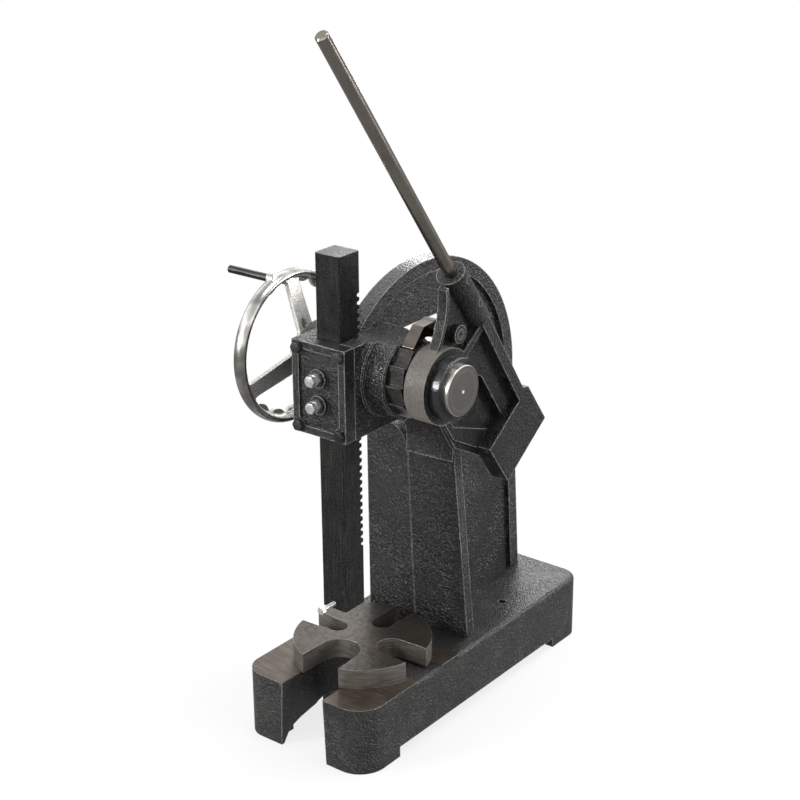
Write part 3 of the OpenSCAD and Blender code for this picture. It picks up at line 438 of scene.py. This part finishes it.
@dataclass(frozen=True)
class BlackedSteel(Finish):
    """Machined steel under a thin black oxide: nearly smooth, light along its worn edges."""

    marks: Axis = Axis.ALONG_Z
    # Colour of the rubbed spots, tool streaks and worn edges
    wear_and_grain_highlight: str = "#8d8982"
    edge_share: float = 0.5
    streak_share: float = 0.12
    sheen: float = 0.3
    edge_width: float = 0.9

    def build(self) -> bpy.types.Material:
        """Builds the black skin with faint tool marks, rubbed spots and worn edges.

        Returns:
            The material.
        """
        s = self.start()
        s.shader.inputs["Specular IOR Level"].default_value = self.sheen
        streaks = s.noise(1.6, self.marks.value, detail=3.0)
        clouds = s.noise(25, detail=4.0, shift=4)
        rubbed = s.noise(2.2, detail=3.0, shift=8)
        colour = s.blend(s.band(clouds, *EVEN), self.dark, self.colour)
        for pattern in (s.band(rubbed, 0.45, 0.7), s.band(streaks, 0.5, 0.75)):
            share = s.math("MULTIPLY", pattern, self.streak_share)
            colour = s.blend(share, colour, self.wear_and_grain_highlight)
        edge = s.math("MULTIPLY", s.edges(self.edge_width), self.edge_share)
        uneven = s.band(rubbed, 0.3, 0.55, (0.4, 1))
        colour = s.blend(s.math("MULTIPLY", edge, uneven), colour, self.wear_and_grain_highlight)
        s.set("Base Color", colour)
        s.set("Roughness", s.band(clouds, *SOFT, self.spread(0.06, 0.08)))
        s.relief(rubbed, 0.25, rounding=0.7)
        return s.material


@dataclass(frozen=True)
class CutSteel(Finish):
    """Bare steel with the marks of the tool that cut it, slightly browned by oil."""

    marks: Axis = Axis.ALONG_X
    mark_size: float = 0.8
    stain: str = "#5d5145"
    stain_share: float = 0.5
    stain_size: float = 18
    groove: float = 0.03
    edge_width: float = 0.7
    edge_share: float = 0.5

    def build(self) -> bpy.types.Material:
        """Builds the tool marks, the stains and the bright edges.

        Returns:
            The material.
        """
        s = self.start()
        streaks = s.noise(self.mark_size, self.marks.value, detail=3.0)
        clouds = s.noise(self.stain_size, detail=3.0, shift=2)
        colour = s.blend(s.band(streaks, *SOFT), self.dark, self.colour)
        stained = s.math("MULTIPLY", s.band(clouds, *SOME), self.stain_share)
        colour = s.blend(stained, colour, self.stain)
        edge = s.math("MULTIPLY", s.edges(self.edge_width), self.edge_share)
        colour = s.blend(edge, colour, BRIGHT_EDGE)
        s.set("Base Color", colour)
        s.set("Roughness", s.band(clouds, *SOFT, self.spread(0.05, 0.1)))
        s.relief(streaks, self.groove, rounding=0.5)
        return s.material


@dataclass(frozen=True)
class PlateSteel(Finish):
    """The table's steel plate: oily and mottled on its flat top, paler and lined on its turned edge."""

    oil: str = "#322c27"
    stain: str = "#574d43"
    rim_dark: str = "#6c6761"
    rim_light: str = "#9b958d"
    edge_width: float = 1.2
    edge_share: float = 0.7

    def build(self) -> bpy.types.Material:
        """Builds the mottled top, the lined edge and the bright corners.

        Returns:
            The material.
        """
        s = self.start()
        marks = s.noise(1.3, Axis.ALONG_X.value, detail=3.0)
        mottle = s.noise(6, detail=4.0, shift=2)
        patches = s.noise(38, detail=2.0, shift=5)
        lines = s.noise(0.9, (0.04, 0.04, 1.0), detail=3.0)
        top = s.blend(s.band(marks, *SOFT), self.dark, self.colour)
        top = s.blend(s.band(mottle, *PATCHES, (0, 0.6)), top, self.oil)
        top = s.blend(s.band(patches, *PATCHES, (0, 0.5)), top, self.stain)
        side = s.blend(s.band(lines, *SOFT), self.rim_dark, self.rim_light)
        flat = s.band(s.math("ABSOLUTE", s.facing("Z")), 0.6, 0.9)
        colour = s.blend(flat, side, top)
        edge = s.math("MULTIPLY", s.edges(self.edge_width), self.edge_share)
        colour = s.blend(edge, colour, BRIGHT_EDGE)
        s.set("Base Color", colour)
        s.set("Roughness", s.band(mottle, *SOFT, self.spread(0.06, 0.1)))
        s.relief(s.blend(flat, lines, marks), 0.06, rounding=0.6)
        return s.material


@dataclass(frozen=True)
class TurnedSteel(Finish):
    """Steel turned on a lathe: fine rings round the shaft, darker on the end than on the round."""

    # Real turning marks are 0.1 mm apart; these are 1.2 mm, so that the render can hold them
    ring_width: float = 1.2
    end_dark: str = "#72706c"
    end_light: str = "#888681"
    stain: str = "#5d5850"
    stain_share: float = 0.2
    bright: str = "#dddad4"
    edge_width: float = 0.9
    edge_share: float = 0.7

    def build(self) -> bpy.types.Material:
        """Builds the rings, the bright round faces and the duller ends.

        Returns:
            The material.
        """
        s = self.start()
        rings = s.rings(self.ring_width)
        end = s.band(s.math("ABSOLUTE", s.facing("X")), 0.6, 0.9)
        clouds = s.noise(16, detail=3.0, shift=5)
        colour = s.blend(s.band(rings, *EVEN), self.dark, self.colour)
        ends = s.blend(s.band(rings, *EVEN), self.end_dark, self.end_light)
        colour = s.blend(end, colour, ends)
        stained = s.math("MULTIPLY", s.band(clouds, *SOME), self.stain_share)
        colour = s.blend(stained, colour, self.stain)
        edge = s.math("MULTIPLY", s.edges(self.edge_width), self.edge_share)
        colour = s.blend(edge, colour, self.bright)
        s.set("Base Color", colour)
        s.set("Roughness", s.band(end, 0, 1, self.spread(0, 0.1)))
        s.relief(rings, 0.2, rounding=0.6)
        return s.material


@dataclass(frozen=True)
class PlatedSteel(Finish):
    """Bright zinc plate on small parts: pale and smooth, a little duller in places."""

    def build(self) -> bpy.types.Material:
        """Builds the plate with its faint blotches.

        Returns:
            The material.
        """
        s = self.start()
        clouds = s.noise(4, detail=2.0)
        s.set("Base Color", s.blend(s.band(clouds, *MOST), self.dark, self.colour))
        s.set("Roughness", s.band(clouds, *SOFT, self.spread(0.04, 0.08)))
        s.relief(clouds, 0.01, rounding=0.5)
        return s.material


@dataclass(frozen=True)
class WheelPlate(Finish):
    """Bright nickel plate over a casting: satin-polished on the rim, grainy on spokes and hub."""

    grain: float = 2.0
    # Distances in millimetres from the shaft's axis where the polish starts and where it is full
    rim_radii: tuple[float, float] = (85.5, 89.0)
    rim_dark: str = "#8f8d88"
    cast_light: str = "#dcdad6"

    def build(self) -> bpy.types.Material:
        """Builds the polished rim and the sand-grained rest.

        Returns:
            The material.
        """
        s = self.start()
        rim = s.band(s.radius(), *self.rim_radii)
        lumps = s.noise(self.grain, detail=3.0)
        clouds = s.noise(30, detail=2.0, shift=6)
        polished = s.blend(s.band(clouds, *MOST), self.rim_dark, self.colour)
        cast = s.blend(s.band(lumps, 0.36, 0.62), self.dark, self.cast_light)
        s.set("Base Color", s.blend(rim, cast, polished))
        s.set("Roughness", s.band(rim, 0, 1, (self.roughness + 0.18, self.roughness)))
        s.relief(s.math("MULTIPLY", lumps, s.band(rim, 0, 1, (1, 0.03))), 0.5, rounding=1.6)
        return s.material


@dataclass(frozen=True)
class Studio:
    """The floor, the soft lamps and the camera at the photograph's place."""

    azimuth: float = 38.06
    elevation: float = 21.40
    roll: float = -0.43
    distance: float = 2.17514
    target: tuple[float, float, float] = (0.03263, 0.07724, 0.44334)
    focal: float = 1748.15
    picture: int = 800
    sensor: float = 36
    # Brightness of the floor and of the soft boxes in reflections
    room: float = 0.36
    band: float = 1.8
    sky_strength: float = 0.55
    # The point that every lamp looks at
    aim: tuple[float, float, float] = (0, 0.1, 0.4)
    floor_size: float = 60
    # The floor lies this far below the feet, so that the two faces stay apart
    floor_drop: float = 0.0005
    # Distances from the press at which the floor's shadow starts to fade and has faded
    fade_reach: tuple[float, float] = (0.35, 1.1)

    def camera(self) -> None:
        """Puts the camera where the photograph was taken from."""
        a, e, t = (math.radians(v) for v in (self.azimuth, self.elevation, self.roll))
        back = Vector((math.sin(a) * math.cos(e), -math.cos(a) * math.cos(e), math.sin(e)))
        right = Vector((math.cos(a), math.sin(a), 0))
        up = back.cross(right)
        turned = right * math.cos(t) + up * math.sin(t)
        axes = Matrix((turned, back.cross(turned), back)).transposed()
        data = bpy.data.cameras.new("camera")
        data.sensor_width = self.sensor
        data.lens = self.sensor * self.focal / self.picture
        camera = bpy.data.objects.new("camera", data)
        bpy.context.scene.collection.objects.link(camera)
        place = Vector(self.target) + back * self.distance
        camera.matrix_world = Matrix.Translation(place) @ axes.to_4x4()
        bpy.context.scene.camera = camera

    def lamp(
        self, name: str, place: tuple[float, float, float], size: tuple[float, float], power: float
    ) -> None:
        """Hangs one soft lamp that looks at the press.

        Args:
            name: The lamp's name.
            place: Where it hangs.
            size: Its width and height.
            power: Its power in watts.
        """
        data = bpy.data.lights.new(name, "AREA")
        data.shape = "RECTANGLE"
        data.size, data.size_y = size
        data.energy = power
        lamp = bpy.data.objects.new(name, data)
        bpy.context.scene.collection.objects.link(lamp)
        lamp.location = place
        sight = Vector(self.aim) - Vector(place)
        lamp.rotation_euler = sight.to_track_quat("-Z", "Y").to_euler()

    def white(
        self,
        tree: bpy.types.NodeTree,
        shader: bpy.types.NodeSocket,
        output: bpy.types.NodeSocket,
        floor: bool,
    ) -> None:
        """Makes a surface look white to the camera, whatever light it gets.

        Args:
            tree: The node tree of the world or of the floor.
            shader: What the surface is to all other light.
            output: The tree's end.
            floor: Whether the surface keeps part of its own shading, for the shadow.
        """
        path = add(tree, "LightPath")
        rays = {0: path.outputs["Is Camera Ray"], 1: path.outputs["Is Transmission Ray"]}
        share = add(tree, "Math", {"operation": "MAXIMUM"}, rays).outputs[0]
        kind = "Emission" if floor else "Background"
        bright = add(tree, kind, {"Color": WHITE, "Strength": 1.0})
        if floor:
            # A floor as white as this one would fog every upright face, so reflections see it dim
            dim = add(tree, kind, {"Color": WHITE, "Strength": self.room})
            mirror = {0: path.outputs["Is Glossy Ray"], 1: shader, 2: dim.outputs[0]}
            shader = add(tree, "MixShader", {}, mirror).outputs[0]
            # Near the press the floor keeps its shadow; a metre away it is as white as the backdrop
            place = add(tree, "TexCoord")
            away = add(tree, "VectorMath", {"operation": "LENGTH"}, {0: place.outputs["Object"]})
            near, far = self.fade_reach
            ends = {"From Min": near, "From Max": far, "To Min": 0.8, "To Max": 1.0}
            fade = {**ends, "interpolation_type": "SMOOTHSTEP"}
            keep = add(tree, "MapRange", fade, {"Value": away.outputs["Value"]})
            factors = {0: share, 1: keep.outputs["Result"]}
            share = add(tree, "Math", {"operation": "MULTIPLY"}, factors).outputs[0]
        mix = add(tree, "MixShader", {}, {0: share, 1: shader, 2: bright.outputs[0]})
        tree.links.new(mix.outputs[0], output)

    def reflected(self, tree: bpy.types.NodeTree, shader: bpy.types.NodeSocket) -> bpy.types.NodeSocket:
        """Gives reflections a bright band of soft boxes round the press, over a dim floor.

        An upright face then mirrors the dim floor, and only the grains that lean back catch the band.

        Args:
            tree: The world's node tree.
            shader: What the world is to all other light.

        Returns:
            The world with its reflected side.
        """
        path = add(tree, "LightPath")
        place = add(tree, "TexCoord")
        # Height here is the sine of the angle above the horizon
        height = add(tree, "SeparateXYZ", {}, {0: place.outputs["Generated"]}).outputs["Z"]
        rise = {"From Min": 0.04, "From Max": 0.24, "To Min": self.room, "To Max": self.band}
        low = add(tree, "MapRange", rise, {"Value": height})
        fall = {"From Min": 0.5, "From Max": 0.85, "To Min": 1.0, "To Max": 0.35}
        high = add(tree, "MapRange", fall, {"Value": height})
        factors = {0: low.outputs["Result"], 1: high.outputs["Result"]}
        level = add(tree, "Math", {"operation": "MULTIPLY"}, factors)
        room = add(tree, "Background", {"Color": WHITE}, {"Strength": level.outputs[0]})
        mirror = {0: path.outputs["Is Glossy Ray"], 1: shader, 2: room.outputs[0]}
        return add(tree, "MixShader", {}, mirror).outputs[0]

    def build(self) -> None:
        """Lays the floor, hangs the lamps and sets the picture's view."""
        scene = bpy.context.scene
        scene.view_settings.view_transform = "Standard"
        world = bpy.data.worlds.new("studio")
        world.use_nodes = True
        scene.world = world
        sky = world.node_tree.nodes["Background"]
        sky.inputs["Color"].default_value = linear("#f2f4f7")
        sky.inputs["Strength"].default_value = self.sky_strength
        end = world.node_tree.nodes["World Output"].inputs["Surface"]
        reflected = self.reflected(world.node_tree, sky.outputs[0])
        self.white(world.node_tree, reflected, end, floor=False)
        bpy.ops.mesh.primitive_plane_add(size=self.floor_size, location=(0, 0, -self.floor_drop))
        floor = bpy.context.object
        floor.name = "floor"
        material = bpy.data.materials.new("pale_floor")
        material.use_nodes = True
        tree = material.node_tree
        shader = tree.nodes["Principled BSDF"]
        shader.inputs["Base Color"].default_value = linear("#f4f4f4")
        shader.inputs["Roughness"].default_value = 0.9
        end = tree.nodes["Material Output"].inputs["Surface"]
        self.white(tree, shader.outputs[0], end, floor=True)
        floor.data.materials.append(material)
        self.lamp("key", (-1.5, -2.4, 1.3), (0.7, 0.9), 56)
        self.lamp("top", (0.3, 0.3, 2.6), (0.8, 0.8), 36)
        self.lamp("side", (2.1, 1.9, 0.95), (0.5, 1.1), 34)
        self.lamp("back", (-1.4, 2.4, 0.85), (0.9, 0.5), 14)
        self.camera()


def only(piece: bpy.types.Object) -> None:
    """Selects one object and nothing else, so that the next operator acts on it alone.

    Args:
        piece: The object.
    """
    bpy.ops.object.select_all(action="DESELECT")
    piece.select_set(True)
    bpy.context.view_layer.objects.active = piece


def apply(piece: bpy.types.Object, kind: str, **settings: object) -> None:
    """Gives a piece one modifier and applies it.

    Args:
        piece: The piece.
        kind: Blender's name of the modifier.
        settings: The modifier's values.
    """
    only(piece)
    modifier = piece.modifiers.new(kind.lower(), kind)
    for key, value in settings.items():
        setattr(modifier, key, value)
    bpy.ops.object.modifier_apply(modifier=modifier.name)


def trim(piece: bpy.types.Object, tool: bpy.types.Object, operation: str) -> None:
    """Cuts a piece with a tool shape, which is then thrown away.

    Args:
        piece: The piece that is cut.
        tool: The shape that cuts it.
        operation: INTERSECT keeps what lies in the tool, DIFFERENCE what lies outside.
    """
    apply(piece, "BOOLEAN", operation=operation, object=tool, solver="EXACT")
    bpy.data.objects.remove(tool, do_unlink=True)


@dataclass(frozen=True)
class Thread:
    """One thread size, with the bolts and nuts made to it; lengths are in millimetres."""

    size: float
    flats: float
    pitch: float
    chamfer: float = math.radians(30)
    # A head's height as a share of the size, and a groove's radius as a share of its crest's
    head_share: float = 0.66
    root_share: float = 0.86
    # The chamfer's circle as a share of the one that touches the flats
    circle_share: float = 1.03
    # How far a cutting cone stands out past each end, and how far a shank reaches into its head
    over: float = 0.3
    inside: float = 0.5

    @property
    def head(self) -> float:
        """Gives the height of a bolt's head."""
        return self.size * self.head_share

    def hexagon(
        self, place: tuple[float, float, float], height: float, both_ends: bool
    ) -> bpy.types.Object:
        """Makes a hexagon whose corners a cone has cut off, as the bar's are before parting.

        Args:
            place: The middle of its front end, which faces -Y.
            height: Its length along Y.
            both_ends: Whether its rear end is cut as well, as on a nut.

        Returns:
            The hexagon.
        """
        x, y, z = place
        turn = (math.pi / 2, math.radians(30), 0)
        bpy.ops.mesh.primitive_cylinder_add(
            vertices=6,
            radius=self.flats / math.sqrt(3) * MM,
            depth=height * MM,
            location=(x * MM, (y + height / 2) * MM, z * MM),
            rotation=turn,
        )
        piece = bpy.context.object
        depth = height + 2 * self.over
        spread = depth / math.tan(self.chamfer)
        narrow = self.flats / 2 * self.circle_share - self.over / math.tan(self.chamfer)
        for end in (1, -1) if both_ends else (1,):
            bpy.ops.mesh.primitive_cone_add(
                vertices=64,
                radius1=(narrow + spread) * MM,
                radius2=narrow * MM,
                depth=depth * MM,
                location=(x * MM, (y + height / 2) * MM, z * MM),
                rotation=(end * math.pi / 2, 0, 0),
            )
            trim(piece, bpy.context.object, "INTERSECT")
        return piece

    def shank(self, place: tuple[float, float, float], length: float) -> bpy.types.Object:
        """Makes a threaded shank, its grooves drawn as rings one pitch apart.

        Args:
            place: The middle of its front end.
            length: Its length along Y.

        Returns:
            The shank.
        """
        x, y, z = place
        middle = (x * MM, y * MM, z * MM)
        half_pitch = {"value": (0, self.pitch / 2 * MM, 0)}
        bpy.ops.mesh.primitive_circle_add(
            vertices=32,
            radius=self.size / 2 * MM,
            fill_type="NGON",
            location=middle,
            rotation=(math.pi / 2, 0, 0),
        )
        piece = bpy.context.object
        bpy.ops.object.mode_set(mode="EDIT")
        bpy.ops.mesh.select_all(action="SELECT")
        for step in range(2 * round(length / self.pitch)):
            bpy.ops.mesh.extrude_region_move(TRANSFORM_OT_translate=half_pitch)
            share = self.root_share if step % 2 == 0 else 1 / self.root_share
            bpy.ops.transform.resize(value=(share, 1, share), center_override=middle)
        bpy.ops.mesh.select_all(action="SELECT")
        bpy.ops.mesh.normals_make_consistent(inside=False)
        bpy.ops.object.mode_set(mode="OBJECT")
        return piece

    def bolt(self, place: tuple[float, float, float], length: float) -> bpy.types.Object:
        """Makes a bolt whose head faces -Y.

        Args:
            place: The middle of the head's front.
            length: The shank's length behind the head.

        Returns:
            The bolt.
        """
        x, y, z = place
        piece = self.hexagon(place, self.head, both_ends=False)
        shank = self.shank((x, y + self.head - self.inside, z), length + self.inside)
        only(piece)
        shank.select_set(True)
        bpy.ops.object.join()
        return piece


def finish_piece(
    name: str,
    parts: list[bpy.types.Object],
    stands_for: str,
    body: str,
    look: Finish,
) -> None:
    """Joins a group's copies into one piece that takes the place of a CAD node.

    Args:
        name: The piece's name.
        parts: The copies.
        stands_for: The CAD node that it replaces.
        body: The body that it moves with.
        look: Its finish.
    """
    only(parts[0])
    for part in parts[1:]:
        part.select_set(True)
    if len(parts) > 1:
        bpy.ops.object.join()
    piece = bpy.context.object
    bpy.ops.object.transform_apply(location=True, rotation=True, scale=True)
    bpy.ops.object.shade_smooth_by_angle(angle=SMOOTH_ANGLE)
    piece.name = name
    piece.data.materials.clear()
    piece.data.materials.append(look.build())
    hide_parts(stands_for)
    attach(piece, body)
    LOG.info("%s: %d faces, %s", name, len(piece.data.polygons), look.name)


@dataclass(frozen=True)
class Fasteners:
    """The bolts, nuts and screws that show, with chamfered hexagons, and on bolts and screws a thread
    drawn as rings one pitch apart.

    Lengths are in millimetres, and a face or a tip is given by its place along Y.
    """

    m8: Thread = Thread(8.0, 12.96, 1.25)
    m6: Thread = Thread(6.0, 9.72, 1.0)
    gib_heights: tuple[float, float] = (466.0, 500.0)
    gib_head_face: float = -51.3
    gib_nut_face: float = -42.9
    gib_tip: float = -25.1
    nut_height: float = 6.4
    cover_places: tuple[tuple[float, float], ...] = ((-32, 433), (32, 433), (-32, 533), (32, 533))
    cover_face: float = -39.3
    cover_screw_length: float = 24
    tool_place: tuple[float, float] = (0.0, 189.0)
    tool_head: float = -46.0
    tool_tip: float = -8.0
    tool_head_room: float = 4

    def build(self) -> None:
        """Makes the four groups."""
        face = self.gib_head_face - self.m8.head
        length = self.gib_tip - self.gib_head_face
        bolts = [self.m8.bolt((0, face, z), length) for z in self.gib_heights]
        look: Finish = PlatedSteel("bright_zinc_bolts", *BRIGHT_ZINC)
        finish_piece("gib_bolts_threaded", bolts, "gib_bolts", "frame", look)
        height = self.nut_height
        face = self.gib_nut_face - height
        nuts = [self.m8.hexagon((0, face, z), height, both_ends=True) for z in self.gib_heights]
        look = PlatedSteel("bright_zinc_nuts", "#dededb", "#cececa", 0.28, 0.8)
        finish_piece("gib_lock_nuts_chamfered", nuts, "gib_lock_nuts", "frame", look)
        face = self.cover_face - self.m8.head
        length = self.cover_screw_length
        screws = [self.m8.bolt((x, face, z), length) for x, z in self.cover_places]
        look = BlackedSteel("black_oxide_screws", "#303133", "#232425", 0.38, 0.3)
        finish_piece("cover_screws_chamfered", screws, "cover_screws", "frame", look)
        x, z = self.tool_place
        length = self.tool_tip - self.tool_head - self.tool_head_room
        tool = [self.m6.bolt((x, self.tool_head, z), length)]
        look = PlatedSteel("bright_zinc_tool_bolt", *BRIGHT_ZINC)
        finish_piece("ram_tool_bolt_threaded", tool, "ram_tool_bolt", "ram", look)


@dataclass(frozen=True)
class SoftCasting:
    """A casting as it leaves the sand: every inside corner filled and every edge rounded."""

    node: str
    body: str
    slot: str
    # Size in millimetres of the grid that the form is rebuilt on, and the passes that smooth it
    voxel: float
    passes: int
    pull: float = 0.5
    # Points nearer than this, in metres, are one
    weld: float = 0.00001

    def build(self, nodes: dict[str, bpy.types.Object], look: Finish) -> None:
        """Copies the CAD solid, fills its corners and smooths it.

        Args:
            nodes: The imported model's nodes by name.
            look: The casting's finish.
        """
        only(nodes[self.node])
        bpy.ops.object.duplicate()
        piece = bpy.context.object
        bpy.ops.object.mode_set(mode="EDIT")
        bpy.ops.mesh.select_all(action="SELECT")
        bpy.ops.mesh.remove_doubles(threshold=self.weld)
        bpy.ops.object.mode_set(mode="OBJECT")
        apply(piece, "REMESH", mode="VOXEL", voxel_size=self.voxel * MM, use_smooth_shade=True)
        apply(piece, "SMOOTH", factor=self.pull, iterations=self.passes)
        only(piece)
        bpy.ops.object.shade_smooth()
        piece.name = self.node + "_cast"
        piece.data.materials.clear()
        piece.data.materials.append(look.build())
        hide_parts(self.node)
        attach(piece, self.body)
        LOG.info("%s: %d faces, %s", piece.name, len(piece.data.polygons), look.name)


@dataclass
class Press:
    """The press's finishes, by the CAD node that each is on."""

    finishes: dict[str, Finish] = field(
        default_factory=lambda: {
            "base_casting": CastPaint(
                "black_paint_on_cast_base", "#181716", "#0f0e0d", 0.22,
                grain=2.4, depth=0.9, grain_highlight=0.28, tool_top=True,
            ),
            "column_casting": CastPaint(
                "black_paint_on_cast_column", "#0c0c0d", "#070708", 0.2, grain=3.0, depth=1.3
            ),
            "lever_casting": CastPaint(
                "brown_black_paint_on_cast_lever", "#0a0909", "#060606", 0.26,
                grain=2.4, depth=0.8, grain_highlight=0.2, sheen=0.35, brown_hub=True,
            ),
            "front_cover": CastPaint(
                "black_paint_on_milled_cover", "#101011", "#0a0a0b", 0.26,
                grain=2.2, depth=0.5, grain_highlight=0.25,
            ),
            "gib_plate": CutSteel("bearing_bronze", *BRONZE, Axis.ALONG_Z),
            "gib_washers": BlackedSteel("black_oxide_washers", "#2b2b2c", "#202021", 0.4, 0.3),
            "left_bush": CutSteel("bearing_bronze_bush", *BRONZE, Axis.ALONG_X),
            "table_pivot_pin": CutSteel("plain_steel_pin", *PLAIN_STEEL, Axis.ALONG_Z),
            "table_plate": PlateSteel("milled_table_steel", "#514c46", "#423d38", 0.4, 0.8),
            "ram": BlackedSteel(
                "dark_ground_ram_steel", "#191918", "#121212", 0.3, 0.2,
                marks=Axis.ALONG_Z, wear_and_grain_highlight="#8b8883", edge_share=0.7,
            ),
            "pinion_shaft": TurnedSteel("turned_shaft_steel", "#ece9e2", "#d2cfc8", 0.27, 1.0),
            "ratchet_wheel": BlackedSteel(
                "hardened_ratchet_steel", "#343331", "#252423", 0.34, 0.4,
                marks=Axis.ALONG_X, wear_and_grain_highlight="#9a958d", edge_share=0.8,
            ),
            "ratchet_key": CutSteel("key_steel", *PLAIN_STEEL, Axis.ALONG_X),
            "shaft_collar": BlackedSteel(
                "black_oxide_collar", "#4a4b4d", "#3a3b3d", 0.22, 0.8,
                marks=Axis.ALONG_X, wear_and_grain_highlight="#c4c1bb", edge_share=0.85, streak_share=0.05,
            ),
            "collar_set_screw": BlackedSteel("black_oxide_set_screw", *BLACK_SCREW),
            "lever_bar": CutSteel(
                "drawn_bar_steel", "#9c968d", "#88827a", 0.22, 1.0,
                marks=Axis.ALONG_Z, mark_size=0.9,
                stain="#4f4941", stain_share=0.35, stain_size=60, groove=0.01,
            ),
            "bar_set_screws": BlackedSteel("black_oxide_grub_screws", *BLACK_SCREW),
            "pawl": CutSteel(
                "milled_pawl_steel", "#7d7770", "#69635c", 0.34, 1.0,
                marks=Axis.ALONG_X, mark_size=1.4, stain="#7a6e62", stain_share=0.3,
            ),
            "pawl_pin": CutSteel("pawl_pin_steel", "#6d6862", "#565049", 0.4, 1.0, Axis.ALONG_X),
            "pawl_spring": PlatedSteel("spring_wire", "#c3c2be", "#8f8e8a", 0.3, 1.0),
            "handwheel": WheelPlate(
                "nickel_plate_on_cast_wheel", "#d6d4cf", "#bab8b3", 0.24, 1.0
            ),
            "handwheel_handle": CutSteel(
                "plain_handle_steel", "#4a4946", "#3e3d3a", 0.26, 1.0,
                marks=Axis.ALONG_X, mark_size=0.9, stain="#474541", stain_share=0.2,
            ),
            "handwheel_key": CutSteel("wheel_key_steel", *PLAIN_STEEL, Axis.ALONG_X),
            "handwheel_set_screw": BlackedSteel("black_oxide_wheel_screw", *BLACK_SCREW),
        }
    )

    castings: tuple[SoftCasting, ...] = (SoftCasting("handwheel", "shaft", "wheel_chrome", 0.9, 5),)

    def dress(self, nodes: dict[str, bpy.types.Object]) -> None:
        """Gives each CAD node its finish, and the wheel its cast form.

        Args:
            nodes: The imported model's nodes by name.
        """
        cast = {casting.node: casting for casting in self.castings}
        for name, finish in self.finishes.items():
            if name in cast:
                cast[name].build(nodes, finish)
            else:
                nodes[name].data.materials.clear()
                nodes[name].data.materials.append(finish.build())
                LOG.info("%s: %s", name, finish.name)


def main() -> None:
    """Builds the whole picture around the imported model."""
    logging.basicConfig(level=logging.INFO, format="%(message)s")
    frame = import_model()
    bpy.ops.object.select_all(action="DESELECT")
    Studio().build()
    Press().dress(frame["nodes"])
    Fasteners().build()


if __name__ == "__main__":
    main()
